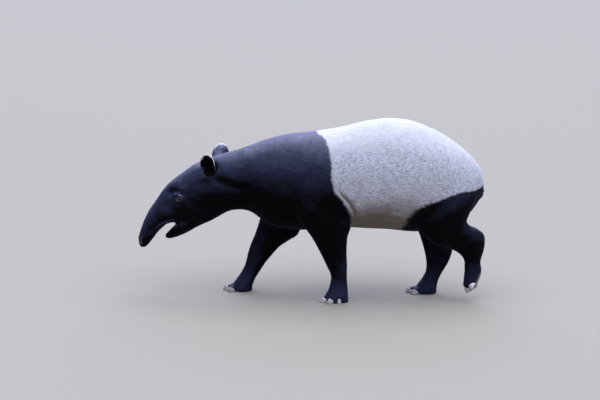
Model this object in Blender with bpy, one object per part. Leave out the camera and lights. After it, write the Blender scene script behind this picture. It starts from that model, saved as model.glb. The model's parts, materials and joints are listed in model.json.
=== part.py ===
"""Malayan tapir at life size, walking with its head low.

Units are metres, +Z is up and the soles stand on Z = 0. The animal faces -X and its
left side is towards -Y. The body is modelled whole with its head straight ahead, the
neck and head are turned aside, and then the body is parted with thin cuts.
"""

import math

import bmesh
import bpy
from mathutils import Matrix, Vector

# Fit and surface
GAP = 0.0003                    # clearance between touching pieces
BLEND_GRID = 0.0065             # grid of the remesh that blends muscles and limbs
BLEND_ROUNDS = 12               # smoothing rounds over the blended body
BODY_TRIANGLES = 6400           # triangles of the whole body before it is parted
RING_SIDES = 28                 # points round one cross-section
RINGS_PER_SPAN = 5              # cross-sections from one station to the next

# How the head turns to the animal's right. Sizes below are for a head straight ahead.
TURN_START_X = -0.36            # the neck starts to turn here
TURN_LENGTH = 0.30              # length of neck that takes up the turn
TURN_ANGLE = math.radians(14.0)
TURN_STEPS = 24

# Colours
BLACK_COAT = (0.012, 0.012, 0.018)
PALE_COAT = (0.62, 0.62, 0.68)
HORN = (0.36, 0.31, 0.29)
EYE_BROWN = (0.02, 0.012, 0.008)

# A station of the trunk is a cross-section, from its upper edge to its lower edge:
# (upper x, upper z, lower x, lower z, half width, how much wider it is low down)
TRUNK_STATIONS = (
    (0.985, 0.690, 0.980, 0.610, 0.050, 0.00),
    (0.955, 0.760, 0.930, 0.530, 0.130, 0.00),
    (0.885, 0.845, 0.855, 0.455, 0.195, 0.02),
    (0.740, 0.950, 0.720, 0.400, 0.245, 0.05),
    (0.580, 1.020, 0.580, 0.385, 0.272, 0.08),
    (0.435, 1.040, 0.435, 0.398, 0.282, 0.10),
    (0.290, 1.020, 0.300, 0.406, 0.282, 0.12),
    (0.150, 0.985, 0.160, 0.408, 0.266, 0.10),
    (0.000, 0.965, 0.020, 0.395, 0.240, 0.08),
    (-0.130, 0.953, -0.120, 0.395, 0.208, 0.06),
    (-0.250, 0.925, -0.240, 0.420, 0.176, 0.06),
    (-0.360, 0.885, -0.355, 0.500, 0.146, 0.08),
    (-0.450, 0.855, -0.455, 0.505, 0.126, 0.08),
    (-0.520, 0.830, -0.530, 0.470, 0.116, 0.04),
    (-0.595, 0.805, -0.590, 0.435, 0.110, 0.00),
    (-0.670, 0.772, -0.650, 0.410, 0.103, -0.04),
    (-0.730, 0.731, -0.700, 0.405, 0.094, -0.04),
    (-0.785, 0.692, -0.745, 0.420, 0.083, 0.00),
    (-0.830, 0.655, -0.785, 0.427, 0.072, 0.08),
    (-0.870, 0.610, -0.825, 0.420, 0.062, 0.10),
    (-0.915, 0.550, -0.860, 0.402, 0.054, 0.10),
    (-0.955, 0.493, -0.890, 0.378, 0.048, 0.08),
    (-0.985, 0.435, -0.915, 0.350, 0.043, 0.06),
    (-1.010, 0.375, -0.940, 0.315, 0.040, 0.04),
    (-1.026, 0.316, -0.968, 0.280, 0.036, 0.00),
    (-1.016, 0.268, -0.992, 0.262, 0.018, 0.00),
)
JAW_STATIONS = (
    (-0.450, 0.600, -0.455, 0.535, 0.020, 0.00),
    (-0.530, 0.555, -0.525, 0.480, 0.046, 0.00),
    (-0.620, 0.500, -0.600, 0.432, 0.062, 0.00),
    (-0.700, 0.465, -0.685, 0.390, 0.064, 0.00),
    (-0.765, 0.435, -0.745, 0.357, 0.052, -0.10),
    (-0.810, 0.400, -0.790, 0.337, 0.042, -0.10),
    (-0.845, 0.362, -0.830, 0.326, 0.032, -0.10),
    (-0.862, 0.345, -0.852, 0.330, 0.016, 0.00),
)

# A station of a leg: (front x, front z, back x, back z, middle y, half width)
LEG_STATIONS = {
    "foreleg_left": (
        (-0.150, 0.800, 0.100, 0.840, -0.115, 0.075),
        (-0.155, 0.660, 0.150, 0.700, -0.145, 0.085),
        (-0.125, 0.540, 0.200, 0.560, -0.155, 0.085),
        (-0.060, 0.450, 0.222, 0.450, -0.152, 0.078),
        (-0.005, 0.375, 0.202, 0.380, -0.145, 0.065),
        (0.035, 0.300, 0.197, 0.300, -0.137, 0.056),
        (0.075, 0.220, 0.200, 0.220, -0.130, 0.049),
        (0.102, 0.160, 0.200, 0.160, -0.127, 0.047),
        (0.102, 0.115, 0.202, 0.115, -0.125, 0.046),
        (0.092, 0.075, 0.205, 0.070, -0.125, 0.052),
        (0.075, 0.040, 0.208, 0.035, -0.125, 0.061),
        (0.070, -0.015, 0.208, -0.015, -0.125, 0.062),
    ),
    "foreleg_right": (
        (-0.190, 0.780, 0.050, 0.840, 0.115, 0.075),
        (-0.230, 0.640, 0.040, 0.700, 0.145, 0.082),
        (-0.265, 0.530, 0.000, 0.580, 0.158, 0.082),
        (-0.300, 0.440, -0.040, 0.450, 0.165, 0.076),
        (-0.318, 0.385, -0.075, 0.340, 0.168, 0.067),
        (-0.335, 0.335, -0.130, 0.300, 0.170, 0.058),
        (-0.357, 0.285, -0.185, 0.262, 0.170, 0.052),
        (-0.375, 0.230, -0.230, 0.212, 0.170, 0.047),
        (-0.387, 0.178, -0.270, 0.165, 0.168, 0.046),
        (-0.405, 0.130, -0.303, 0.115, 0.166, 0.045),
        (-0.430, 0.090, -0.325, 0.080, 0.165, 0.050),
        (-0.460, 0.045, -0.345, 0.035, 0.165, 0.060),
        (-0.468, -0.015, -0.350, -0.015, 0.165, 0.061),
    ),
    "hindleg_left": (
        (0.620, 0.680, 0.920, 0.740, -0.120, 0.090),
        (0.575, 0.550, 0.925, 0.610, -0.145, 0.100),
        (0.590, 0.430, 0.872, 0.500, -0.148, 0.092),
        (0.675, 0.340, 0.880, 0.450, -0.135, 0.074),
        (0.765, 0.310, 0.932, 0.422, -0.122, 0.061),
        (0.828, 0.275, 0.974, 0.385, -0.112, 0.052),
        (0.860, 0.235, 0.980, 0.320, -0.105, 0.046),
        (0.864, 0.185, 0.960, 0.235, -0.100, 0.043),
        (0.862, 0.135, 0.966, 0.170, -0.100, 0.048),
        (0.858, 0.095, 0.950, 0.120, -0.100, 0.052),
        (0.866, 0.075, 0.930, 0.095, -0.100, 0.040),
    ),
    "hindleg_right": (
        (0.580, 0.660, 0.890, 0.720, 0.120, 0.090),
        (0.570, 0.520, 0.895, 0.570, 0.145, 0.098),
        (0.590, 0.420, 0.862, 0.460, 0.142, 0.088),
        (0.620, 0.355, 0.838, 0.375, 0.132, 0.074),
        (0.637, 0.310, 0.826, 0.305, 0.122, 0.062),
        (0.650, 0.265, 0.822, 0.240, 0.112, 0.052),
        (0.662, 0.215, 0.800, 0.180, 0.106, 0.046),
        (0.667, 0.170, 0.772, 0.135, 0.102, 0.043),
        (0.662, 0.125, 0.750, 0.095, 0.100, 0.046),
        (0.645, 0.090, 0.738, 0.062, 0.100, 0.052),
        (0.615, 0.045, 0.732, 0.028, 0.100, 0.059),
        (0.606, -0.015, 0.732, -0.015, 0.100, 0.060),
    ),
}

# Muscle and bone under the skin: (x, y, z), (radius x, y, z), lean about Y in degrees.
# Each one is made on both sides.
PAIRED_MASSES = (
    ((-0.040, 0.158, 0.650), (0.115, 0.058, 0.180), -12),     # shoulder blade
    ((0.745, 0.150, 0.590), (0.160, 0.080, 0.215), 10),       # haunch
    ((-0.650, 0.062, 0.520), (0.110, 0.036, 0.066), 35),      # cheek
    ((-0.715, 0.078, 0.560), (0.085, 0.020, 0.020), 35),      # cheek bone
)
PAIRED_HOLLOWS = (
    ((-0.775, 0.096, 0.628), (0.045, 0.026, 0.022), 40),      # above the eye
)

# Toes, each: (name, degrees from straight ahead to the outside, reach, half width)
FORE_TOES = (
    ("inner", -43.0, 0.090, 0.0165),
    ("front", -3.0, 0.101, 0.0190),
    ("outer", 40.0, 0.090, 0.0175),
    ("little", 92.0, 0.072, 0.0145),
)
HIND_TOES = (
    ("inner", -41.0, 0.090, 0.0170),
    ("front", 0.0, 0.102, 0.0195),
    ("outer", 41.0, 0.090, 0.0170),
)
# Middle of the sole (x, y, z), outward turn and downward pitch in degrees, toes
FEET = {
    "forefoot_left": ((0.140, -0.125, 0.0), 12.0, 0.0, FORE_TOES),
    "forefoot_right": ((-0.425, 0.165, 0.0), 4.0, 0.0, FORE_TOES),
    "hindfoot_left": ((0.932, -0.100, 0.132), 6.0, 62.0, HIND_TOES),
    "hindfoot_right": ((0.648, 0.100, 0.0), 4.0, 0.0, HIND_TOES),
}
# A hoof is a rounded wedge, high in front, with its top edge sloping down to the heel
HOOF_REACH = 0.034              # from the hoof's middle to its front
HOOF_HEIGHT = 0.034
HOOF_TOP_SLOPE = (0.56, 0.0, 0.83)
HOOF_TOP_POINT = (-0.004, 0.0, 0.0245)
TOE_RADII = (0.046, 1.15, 0.034)    # length, share of the hoof's half width, height

# Head details, on the left side before the head turns
EYE_CENTRE = (-0.737, -0.0800, 0.585)
EYE_RADIUS = 0.0170
LID_RADII = (0.0190, 0.0140)
LID_THICKNESS = 0.0045
EYE_SLIT = (-0.80, 0.0, -0.45)      # the lids' long way slopes down to the snout
EYE_OUT = (-0.30, 1.0, 0.08)        # out of the head; the middle value is for the right side
LIP_RADIUS = 0.0080
# Half of each lip's rim, from the corner of the mouth to its middle in front
LOWER_LIP = ((-0.752, 0.038, 0.424), (-0.812, 0.038, 0.388), (-0.842, 0.026, 0.354),
             (-0.854, 0.010, 0.342))
UPPER_LIP = ((-0.752, 0.046, 0.440), (-0.825, 0.051, 0.429), (-0.878, 0.043, 0.399),
             (-0.925, 0.036, 0.353), (-0.966, 0.024, 0.303))
NOSTRIL_CENTRE = (-1.012, -0.020, 0.305)
NOSTRIL_RADII = (0.016, 0.0065, 0.013)
NOSTRIL_LEAN = math.radians(-20)
EAR_LENGTH = 0.138
EAR_WIDTH = 0.086
EAR_WALL = 0.004
EAR_COLUMNS = 10
# Share of the length from root to tip, share of the full width, how far the edge curls
# round from the middle of the back, in degrees
EAR_PROFILE = (
    (0.00, 0.46, 165.0),
    (0.18, 0.66, 140.0),
    (0.36, 0.90, 98.0),
    (0.55, 1.00, 78.0),
    (0.78, 0.93, 66.0),
    (0.93, 0.64, 62.0),
    (1.00, 0.30, 60.0),
)
EAR_FLOOR = 0.45                # the cup has its full depth this far up
EAR_ROOTS = {"left": (-0.572, -0.074, 0.708), "right": (-0.556, 0.068, 0.738)}
EAR_TIPS = {"left": (-0.552, -0.134, 0.830), "right": (-0.530, 0.112, 0.870)}
EAR_FACING = {"left": (-0.45, -0.90, -0.10), "right": (-0.45, 0.90, -0.10)}

TAIL_ROOT = (0.955, 0.0, 0.672)
TAIL_TIP = (0.978, 0.0, 0.575)
TAIL_RADII = (0.024, 0.011)
TAIL_SIDES = 12

# The cuts that part the body, as edge points of the side view (x, z)
SADDLE_FRONT_TOP = (0.020, 0.965)
SADDLE_FRONT_LOW = (0.220, 0.410)
SADDLE_BACK_LOW = (0.545, 0.427)
SADDLE_BACK_HIGH = (1.060, 0.679)
NECK_BASE_TOP = (-0.230, 0.930)
NECK_BASE_LOW = (-0.345, 0.490)
NECK_TOP_TOP = (-0.500, 0.840)
NECK_TOP_LOW = (-0.485, 0.490)
SNOUT_ROOT_TOP = (-0.905, 0.560)
SNOUT_ROOT_LOW = (-0.835, 0.415)
LEG_CELL_INNER = 0.010          # the legs' inner cuts lie this far from the middle
LEG_CELL_OUTER = 0.45
WRIST_CUTS = {
    "foreleg_left": ((0.150, 0.0, 0.128), (0.0, 0.0, -1.0)),
    "foreleg_right": ((-0.345, 0.0, 0.130), (-0.35, 0.0, -0.94)),
    "hindleg_left": ((0.912, 0.0, 0.190), (0.10, 0.0, -1.0)),
    "hindleg_right": ((0.710, 0.0, 0.120), (-0.25, 0.0, -0.97)),
}


def clear_scene():
    for item in list(bpy.data.objects):
        bpy.data.objects.remove(item, do_unlink=True)


def make_material(name, colour, roughness):
    material = bpy.data.materials.new(name)
    material.use_nodes = True
    shader = material.node_tree.nodes["Principled BSDF"]
    shader.inputs["Base Color"].default_value = (*colour, 1.0)
    shader.inputs["Roughness"].default_value = roughness
    shader.inputs["Metallic"].default_value = 0.0
    return material


def object_from(bm, name):
    mesh = bpy.data.meshes.new(name)
    bmesh.ops.recalc_face_normals(bm, faces=bm.faces)
    bm.to_mesh(mesh)
    bm.free()
    item = bpy.data.objects.new(name, mesh)
    bpy.context.scene.collection.objects.link(item)
    return item


def copy_of(item):
    twin = item.copy()
    twin.data = item.data.copy()
    bpy.context.scene.collection.objects.link(twin)
    return twin


def drop(*items):
    for item in items:
        bpy.data.objects.remove(item, do_unlink=True)


def bake_modifiers(item):
    bpy.context.view_layer.update()
    graph = bpy.context.evaluated_depsgraph_get()
    baked = bpy.data.meshes.new_from_object(item.evaluated_get(graph))
    item.modifiers.clear()
    item.data = baked


def combine(item, tools, operation):
    """Cut, join or intersect item with a list of closed tools, which are used up."""
    group = bpy.data.collections.new("tools")
    bpy.context.scene.collection.children.link(group)
    for tool in tools:
        group.objects.link(tool)
    boolean = item.modifiers.new("combine", "BOOLEAN")
    boolean.operation = operation
    boolean.solver = "EXACT"
    boolean.operand_type = "COLLECTION"
    boolean.collection = group
    bake_modifiers(item)
    drop(*tools)
    bpy.data.collections.remove(group)
    keep_largest(item)


def keep_largest(item):
    """Weld, then keep the closed surface with the most faces."""
    bm = bmesh.new()
    bm.from_mesh(item.data)
    bmesh.ops.remove_doubles(bm, verts=bm.verts, dist=1e-6)
    bm.faces.ensure_lookup_table()
    seen = set()
    shells = []
    for start in bm.faces:
        if start in seen:
            continue
        seen.add(start)
        shell = [start]
        for face in shell:
            for edge in face.edges:
                for other in edge.link_faces:
                    if other not in seen:
                        seen.add(other)
                        shell.append(other)
        shells.append(shell)
    shells.sort(key=len)
    for shell in shells[:-1]:
        bmesh.ops.delete(bm, geom=shell, context="FACES")
    bmesh.ops.triangulate(bm, faces=bm.faces, quad_method="BEAUTY", ngon_method="BEAUTY")
    bm.to_mesh(item.data)
    bm.free()


def grown(item, amount=GAP):
    """A copy of item whose faces stand out by amount."""
    twin = copy_of(item)
    bm = bmesh.new()
    bm.from_mesh(twin.data)
    bm.normal_update()
    moves = [vert.normal * vert.calc_shell_factor() * amount for vert in bm.verts]
    for vert, move in zip(bm.verts, moves):
        vert.co += move
    bm.to_mesh(twin.data)
    bm.free()
    return twin


def part_off(whole, cell, name):
    """Split whole along the skin of cell. The piece inside the cell gets the name."""
    piece = copy_of(whole)
    piece.name = name
    wider = grown(cell)
    combine(piece, [cell], "INTERSECT")
    combine(whole, [wider], "DIFFERENCE")
    return piece


def spline_rows(stations, per_span=RINGS_PER_SPAN):
    """Catmull-Rom rows through the stations, so that a few sections make a smooth form."""
    rows = []
    last = len(stations) - 1
    for index in range(last):
        before = stations[max(index - 1, 0)]
        here = stations[index]
        there = stations[index + 1]
        after = stations[min(index + 2, last)]
        for step in range(per_span):
            t = step / per_span
            rows.append([
                0.5 * (2 * q + (r - p) * t + (2 * p - 5 * q + 4 * r - s) * t * t
                       + (3 * q - p - 3 * r + s) * t ** 3)
                for p, q, r, s in zip(before, here, there, after)
            ])
    rows.append(list(stations[last]))
    return rows


def loft(name, rings):
    """A closed skin over a row of rings with the same number of points."""
    bm = bmesh.new()
    loops = [[bm.verts.new(point) for point in ring] for ring in rings]
    for one, two in zip(loops, loops[1:]):
        for index in range(len(one)):
            following = (index + 1) % len(one)
            bm.faces.new((one[index], one[following], two[following], two[index]))
    bm.faces.new(loops[0])
    bm.faces.new(loops[-1])
    return object_from(bm, name)


def section(edge_a, edge_b, middle_y, half_width, low_width):
    """One rounded cross-section between two edge points of the side view."""
    centre = (edge_a + edge_b) / 2
    half = (edge_a - edge_b) / 2
    ring = []
    for index in range(RING_SIDES):
        angle = math.tau * index / RING_SIDES
        rise = math.cos(angle)
        side = math.sin(angle) * (1.0 - low_width * rise)
        point = centre + half * rise
        ring.append(Vector((point.x, middle_y + half_width * side, point.z)))
    return ring


def loft_trunk(name, stations):
    rings = []
    for upper_x, upper_z, lower_x, lower_z, half_width, low_width in spline_rows(stations):
        upper = Vector((upper_x, 0.0, upper_z))
        lower = Vector((lower_x, 0.0, lower_z))
        rings.append(section(upper, lower, 0.0, half_width, low_width))
    return loft(name, rings)


def loft_leg(name, stations):
    rings = []
    for front_x, front_z, back_x, back_z, middle_y, half_width in spline_rows(stations):
        front = Vector((front_x, 0.0, front_z))
        back = Vector((back_x, 0.0, back_z))
        rings.append(section(front, back, middle_y, half_width, 0.0))
    return loft(name, rings)


def ellipsoid(name, centre, radii, turn=None, segments=20, rings=12):
    bm = bmesh.new()
    bmesh.ops.create_uvsphere(bm, u_segments=segments, v_segments=rings, radius=1.0)
    place = Matrix.Translation(centre) @ (turn or Matrix()) @ Matrix.Diagonal((*radii, 1.0))
    bmesh.ops.transform(bm, matrix=place, verts=bm.verts)
    return object_from(bm, name)


def paired_ellipsoids(table):
    items = []
    for (x, y, z), radii, lean in table:
        turn = Matrix.Rotation(math.radians(lean), 4, "Y")
        for side in (-1, 1):
            items.append(ellipsoid("mass", (x, side * y, z), radii, turn))
    return items


def outward(name):
    return -1.0 if "left" in name else 1.0


def foot_frame(foot):
    """The frame of a foot: origin in the middle of the sole, toes along -X."""
    place, out_turn, pitch, _toes = FEET[foot]
    turn = Matrix.Rotation(-outward(foot) * math.radians(out_turn), 4, "Z")
    tip_down = Matrix.Rotation(-math.radians(pitch), 4, "Y")
    return Matrix.Translation(place) @ turn @ tip_down


def toe_frame(foot, toe):
    """The frame of a hoof: origin on the sole in its middle, tip along -X."""
    _name, out_angle, reach, _half_width = toe
    fan = Matrix.Rotation(-outward(foot) * math.radians(out_angle), 4, "Z")
    return foot_frame(foot) @ fan @ Matrix.Translation((HOOF_REACH - reach, 0.0, 0.0))


def toe_lobe(foot, toe):
    length, width_share, height = TOE_RADII
    radii = (length, toe[3] * width_share, height)
    frame = toe_frame(foot, toe) @ Matrix.Translation((0.022, 0.0, 0.008))
    return ellipsoid("toe", (0, 0, 0), radii, frame)


def hoof(foot, toe):
    bm = bmesh.new()
    bmesh.ops.create_uvsphere(bm, u_segments=10, v_segments=6, radius=1.0)
    scale = Matrix.Diagonal((HOOF_REACH, toe[3], HOOF_HEIGHT, 1.0))
    bmesh.ops.transform(bm, matrix=scale, verts=bm.verts)
    mesh = object_from(bm, foot + "_hoof_" + toe[0])
    keep_side(mesh, Vector((0, 0, 0)), Vector((0, 0, -1)))
    keep_side(mesh, Vector(HOOF_TOP_POINT), Vector(HOOF_TOP_SLOPE))
    mesh.data.transform(toe_frame(foot, toe))
    return mesh


def ear_rows(side):
    """The points of an ear's back and of its cup, row by row from the root to the tip."""
    root = Vector(EAR_ROOTS[side])
    axis = (Vector(EAR_TIPS[side]) - root).normalized()
    facing = Vector(EAR_FACING[side])
    facing = (facing - axis * facing.dot(axis)).normalized()
    across = axis.cross(facing)
    outer, inner = [], []
    for share, width_share, curl_degrees in spline_rows(EAR_PROFILE, 2):
        curl = math.radians(curl_degrees)
        radius = EAR_WIDTH / 2 * width_share / math.sin(min(curl, math.pi / 2))
        cup = max(radius - EAR_WALL, 0.001)
        opened = min(1.0, share / EAR_FLOOR)
        opened = opened * opened * (3 - 2 * opened)
        centre = root + axis * (EAR_LENGTH * share)
        outer_row, inner_row = [], []
        for column in range(EAR_COLUMNS + 1):
            place = 2 * column / EAR_COLUMNS - 1
            sideways = math.sin(curl * place)
            depth = math.cos(curl * place) - math.cos(curl)
            flat = place * math.sin(curl)
            cup_sideways = flat + (sideways - flat) * opened
            outer_row.append(centre + across * radius * sideways - facing * radius * depth)
            inner_row.append(centre + across * cup * cup_sideways
                             - facing * (cup * depth * opened - EAR_WALL * 0.3))
        outer.append(outer_row)
        inner.append(inner_row)
    return outer, inner


def ear(side):
    """A thin cup, open towards the front, closed to a solid stalk at its root."""
    outer, inner = ear_rows(side)
    rows = len(outer) - 1
    bm = bmesh.new()
    out_grid = [[bm.verts.new(point) for point in line] for line in outer]
    in_grid = [[bm.verts.new(point) for point in line] for line in inner]
    for row in range(rows):
        for column in range(EAR_COLUMNS):
            for grid in (out_grid, in_grid):
                bm.faces.new((grid[row][column], grid[row][column + 1],
                              grid[row + 1][column + 1], grid[row + 1][column]))
        for column in (0, EAR_COLUMNS):
            bm.faces.new((out_grid[row][column], out_grid[row + 1][column],
                          in_grid[row + 1][column], in_grid[row][column]))
    for column in range(EAR_COLUMNS):
        for row in (0, rows):
            bm.faces.new((out_grid[row][column], out_grid[row][column + 1],
                          in_grid[row][column + 1], in_grid[row][column]))
    bmesh.ops.triangulate(bm, faces=bm.faces)
    return object_from(bm, "ear_" + side)


def blended_body():
    """Trunk, jaw, legs and muscles as one skin with soft joins."""
    body = loft_trunk("body", TRUNK_STATIONS)
    combine(body, [loft_trunk("jaw", JAW_STATIONS), *lips()], "UNION")
    combine(body, paired_ellipsoids(PAIRED_MASSES), "UNION")
    combine(body, [loft_leg(name, row) for name, row in LEG_STATIONS.items()], "UNION")
    combine(body, [toe_lobe(foot, toe) for foot, row in FEET.items() for toe in row[-1]], "UNION")
    combine(body, paired_ellipsoids(PAIRED_HOLLOWS), "DIFFERENCE")
    blend = body.modifiers.new("blend", "REMESH")
    blend.mode = "VOXEL"
    blend.voxel_size = BLEND_GRID
    smooth = body.modifiers.new("smooth", "SMOOTH")
    smooth.factor = 0.5
    smooth.iterations = BLEND_ROUNDS
    bake_modifiers(body)
    lighten = body.modifiers.new("lighten", "DECIMATE")
    lighten.ratio = BODY_TRIANGLES / (2 * len(body.data.polygons))
    bake_modifiers(body)
    keep_largest(body)
    return body


def leg_cell(side, outline, start_z, slope):
    """A closed block round one leg, from a slanting inner face out past the flank."""
    bm = bmesh.new()
    inner, outer = [], []
    for x, z in outline:
        depth = LEG_CELL_INNER + slope * max(0.0, z - start_z)
        inner.append(bm.verts.new((x, side * depth, z)))
        outer.append(bm.verts.new((x, side * LEG_CELL_OUTER, z)))
    for index in range(len(outline)):
        following = (index + 1) % len(outline)
        bm.faces.new((inner[index], inner[following], outer[following], outer[index]))
    bm.faces.new(inner)
    bm.faces.new(outer)
    bmesh.ops.triangulate(bm, faces=bm.faces)
    return object_from(bm, "cell")


def shoulder_arc(centre_x, centre_z, radius, steps=10):
    """Points over a shoulder joint, from its front to its back."""
    angles = [math.pi * (1 - index / steps) for index in range(steps + 1)]
    return [(centre_x + radius * math.cos(a), centre_z + radius * math.sin(a)) for a in angles]


def leg_cells():
    left_fore = [(-0.200, -0.05), *shoulder_arc(-0.030, 0.660, 0.155),
                 (0.205, 0.450), (0.250, 0.330), (0.250, -0.05)]
    right_fore = [(-0.580, -0.05), (-0.580, 0.300), (-0.345, 0.430),
                  *shoulder_arc(-0.080, 0.660, 0.155), (0.020, 0.440), (0.020, -0.05)]
    hind = [(0.545, -0.05), SADDLE_BACK_LOW, SADDLE_BACK_HIGH, (1.060, -0.05)]
    return {
        "foreleg_left": leg_cell(-1, left_fore, 0.36, 0.25),
        "foreleg_right": leg_cell(1, right_fore, 0.36, 0.25),
        "hindleg_left": leg_cell(-1, hind, 0.40, 0.28),
        "hindleg_right": leg_cell(1, hind, 0.40, 0.28),
    }


def keep_side(item, point, normal):
    """Cut item with a plane, drop what lies ahead of it and close the cut."""
    bm = bmesh.new()
    bm.from_mesh(item.data)
    whole = bm.verts[:] + bm.edges[:] + bm.faces[:]
    cut = bmesh.ops.bisect_plane(
        bm, geom=whole, dist=1e-6, plane_co=point, plane_no=normal, clear_outer=True)
    rim = [part for part in cut["geom_cut"] if isinstance(part, bmesh.types.BMEdge)]
    bmesh.ops.triangle_fill(bm, use_beauty=True, use_dissolve=False, edges=rim)
    bmesh.ops.recalc_face_normals(bm, faces=bm.faces)
    bm.to_mesh(item.data)
    bm.free()
    keep_largest(item)


def split(whole, point, normal, name):
    """Cut whole in two by a plane. The piece ahead of the plane gets the name."""
    point = Vector(point)
    normal = Vector(normal).normalized()
    piece = copy_of(whole)
    piece.name = name
    keep_side(piece, point + normal * GAP / 2, -normal)
    keep_side(whole, point - normal * GAP / 2, normal)
    return piece


def split_between(whole, upper, lower, name, ahead=True):
    """Split by the plane through two points of the side view. The front, or else the rear,
    gets the name."""
    middle = Vector(((upper[0] + lower[0]) / 2, 0.0, (upper[1] + lower[1]) / 2))
    normal = Vector((lower[1] - upper[1], 0.0, upper[0] - lower[0]))
    if (normal.x < 0) != ahead:
        normal.negate()
    normal.rotate(Matrix.Rotation(-heading(TURN_START_X - middle.x), 3, "Z"))
    return split(whole, turned(middle), normal, name)


def heading(run):
    """How far the animal's line has turned, run metres ahead of where the turn starts."""
    share = min(1.0, max(0.0, run / TURN_LENGTH))
    return TURN_ANGLE * share * share * (3 - 2 * share)


def turned(point):
    """Swing a point of the neck or head to the animal's right, bending the neck."""
    run = TURN_START_X - point.x
    if run <= 0:
        return point
    middle = Vector((TURN_START_X, 0.0, point.z))
    for step in range(TURN_STEPS):
        angle = heading(run * (step + 0.5) / TURN_STEPS)
        middle += Vector((-math.cos(angle), math.sin(angle), 0.0)) * run / TURN_STEPS
    angle = heading(run)
    return middle + Vector((math.sin(angle), math.cos(angle), 0.0)) * point.y


def turn_aside(item):
    for vert in item.data.vertices:
        vert.co = turned(vert.co)
    return item


def jaw_cell():
    """Block round the lower jaw, whose upper face runs through the open mouth."""
    outline = ((-0.795, 0.424), (-0.712, 0.360), (-0.712, 0.300), (-0.900, 0.300),
               (-0.885, 0.340), (-0.865, 0.372), (-0.835, 0.404))
    bm = bmesh.new()
    left = [bm.verts.new((x, -0.15, z)) for x, z in outline]
    right = [bm.verts.new((x, 0.15, z)) for x, z in outline]
    for index in range(len(outline)):
        following = (index + 1) % len(outline)
        bm.faces.new((left[index], left[following], right[following], right[index]))
    bm.faces.new(left)
    bm.faces.new(right)
    bmesh.ops.triangulate(bm, faces=bm.faces)
    return object_from(bm, "cell")


def bead(points, radius):
    """A round-ended ridge along a smooth line, as a closed mesh."""
    curve = bpy.data.curves.new("bead", "CURVE")
    curve.dimensions = "3D"
    spline = curve.splines.new("NURBS")
    spline.points.add(len(points) - 1)
    for point, place in zip(spline.points, points):
        point.co = (*place, 1.0)
    spline.use_endpoint_u = True
    spline.order_u = 3
    spline.resolution_u = 3
    curve.bevel_depth = radius
    curve.bevel_resolution = 1
    curve.use_fill_caps = True
    item = bpy.data.objects.new("bead", curve)
    bpy.context.scene.collection.objects.link(item)
    bpy.context.view_layer.update()
    graph = bpy.context.evaluated_depsgraph_get()
    mesh = bpy.data.meshes.new_from_object(item.evaluated_get(graph))
    drop(item)
    bm = bmesh.new()
    bm.from_mesh(mesh)
    bmesh.ops.remove_doubles(bm, verts=bm.verts, dist=1e-6)
    return object_from(bm, "bead")


def lips():
    """The rims of the open mouth, each from one corner round the front to the other."""
    items = []
    for half in (LOWER_LIP, UPPER_LIP):
        left = [(x, -y, z) for x, y, z in half]
        right = [(x, y, z) for x, y, z in reversed(half)]
        items.append(bead(left + right, LIP_RADIUS))
    return items


def eye_axis(side):
    """From the eye's middle out through its lids."""
    return Vector((EYE_OUT[0], side * EYE_OUT[1], EYE_OUT[2])).normalized()


def lid_ring(side):
    """The raised rim of both lids round the opening of one eye."""
    bm = bmesh.new()
    turns, sides = 16, 5
    rings = []
    for turn in range(turns):
        around = math.tau * turn / turns
        centre = Vector((math.cos(around) * LID_RADII[0], math.sin(around) * LID_RADII[1], 0))
        outward = Vector((math.cos(around), math.sin(around), 0))
        ring = []
        for index in range(sides):
            angle = math.tau * index / sides
            offset = outward * math.cos(angle) + Vector((0, 0, 1)) * math.sin(angle)
            ring.append(bm.verts.new(centre + offset * LID_THICKNESS))
        rings.append(ring)
    for turn in range(turns):
        one, two = rings[turn], rings[(turn + 1) % turns]
        for index in range(sides):
            following = (index + 1) % sides
            bm.faces.new((one[index], one[following], two[following], two[index]))
    bmesh.ops.transform(bm, matrix=lid_frame(side), verts=bm.verts)
    return object_from(bm, "lids")


def lid_frame(side):
    """Frame of the lids: X along the eye slit, Z out of the head."""
    out = eye_axis(side)
    slit = Vector(EYE_SLIT)
    slit = (slit - out * slit.dot(out)).normalized()
    up = out.cross(slit)
    centre = Vector((EYE_CENTRE[0], side * abs(EYE_CENTRE[1]), EYE_CENTRE[2]))
    frame = Matrix((slit, up, out)).transposed().to_4x4()
    return Matrix.Translation(centre + out * EYE_RADIUS * 0.72) @ frame


def eyeball(side, name):
    centre = (EYE_CENTRE[0], side * abs(EYE_CENTRE[1]), EYE_CENTRE[2])
    return ellipsoid(name, centre, (EYE_RADIUS,) * 3, None, 14, 8)


def eye_opening(side):
    """A short tapered plug that opens the skin between the lids down to the eyeball."""
    bm = bmesh.new()
    bmesh.ops.create_cone(bm, cap_ends=True, segments=20, radius1=0.75, radius2=1.0, depth=1.0)
    size = Matrix.Diagonal((LID_RADII[0] - LID_THICKNESS * 0.6,
                            LID_RADII[1] - LID_THICKNESS * 0.6, 0.030, 1.0))
    place = lid_frame(side) @ Matrix.Translation((0, 0, 0.008)) @ size
    bmesh.ops.transform(bm, matrix=place, verts=bm.verts)
    return object_from(bm, "opening")


def nostril(side):
    x, y, z = NOSTRIL_CENTRE
    turn = Matrix.Rotation(NOSTRIL_LEAN, 4, "Y")
    return ellipsoid("nostril", (x, side * abs(y), z), NOSTRIL_RADII, turn, 14, 8)


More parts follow.
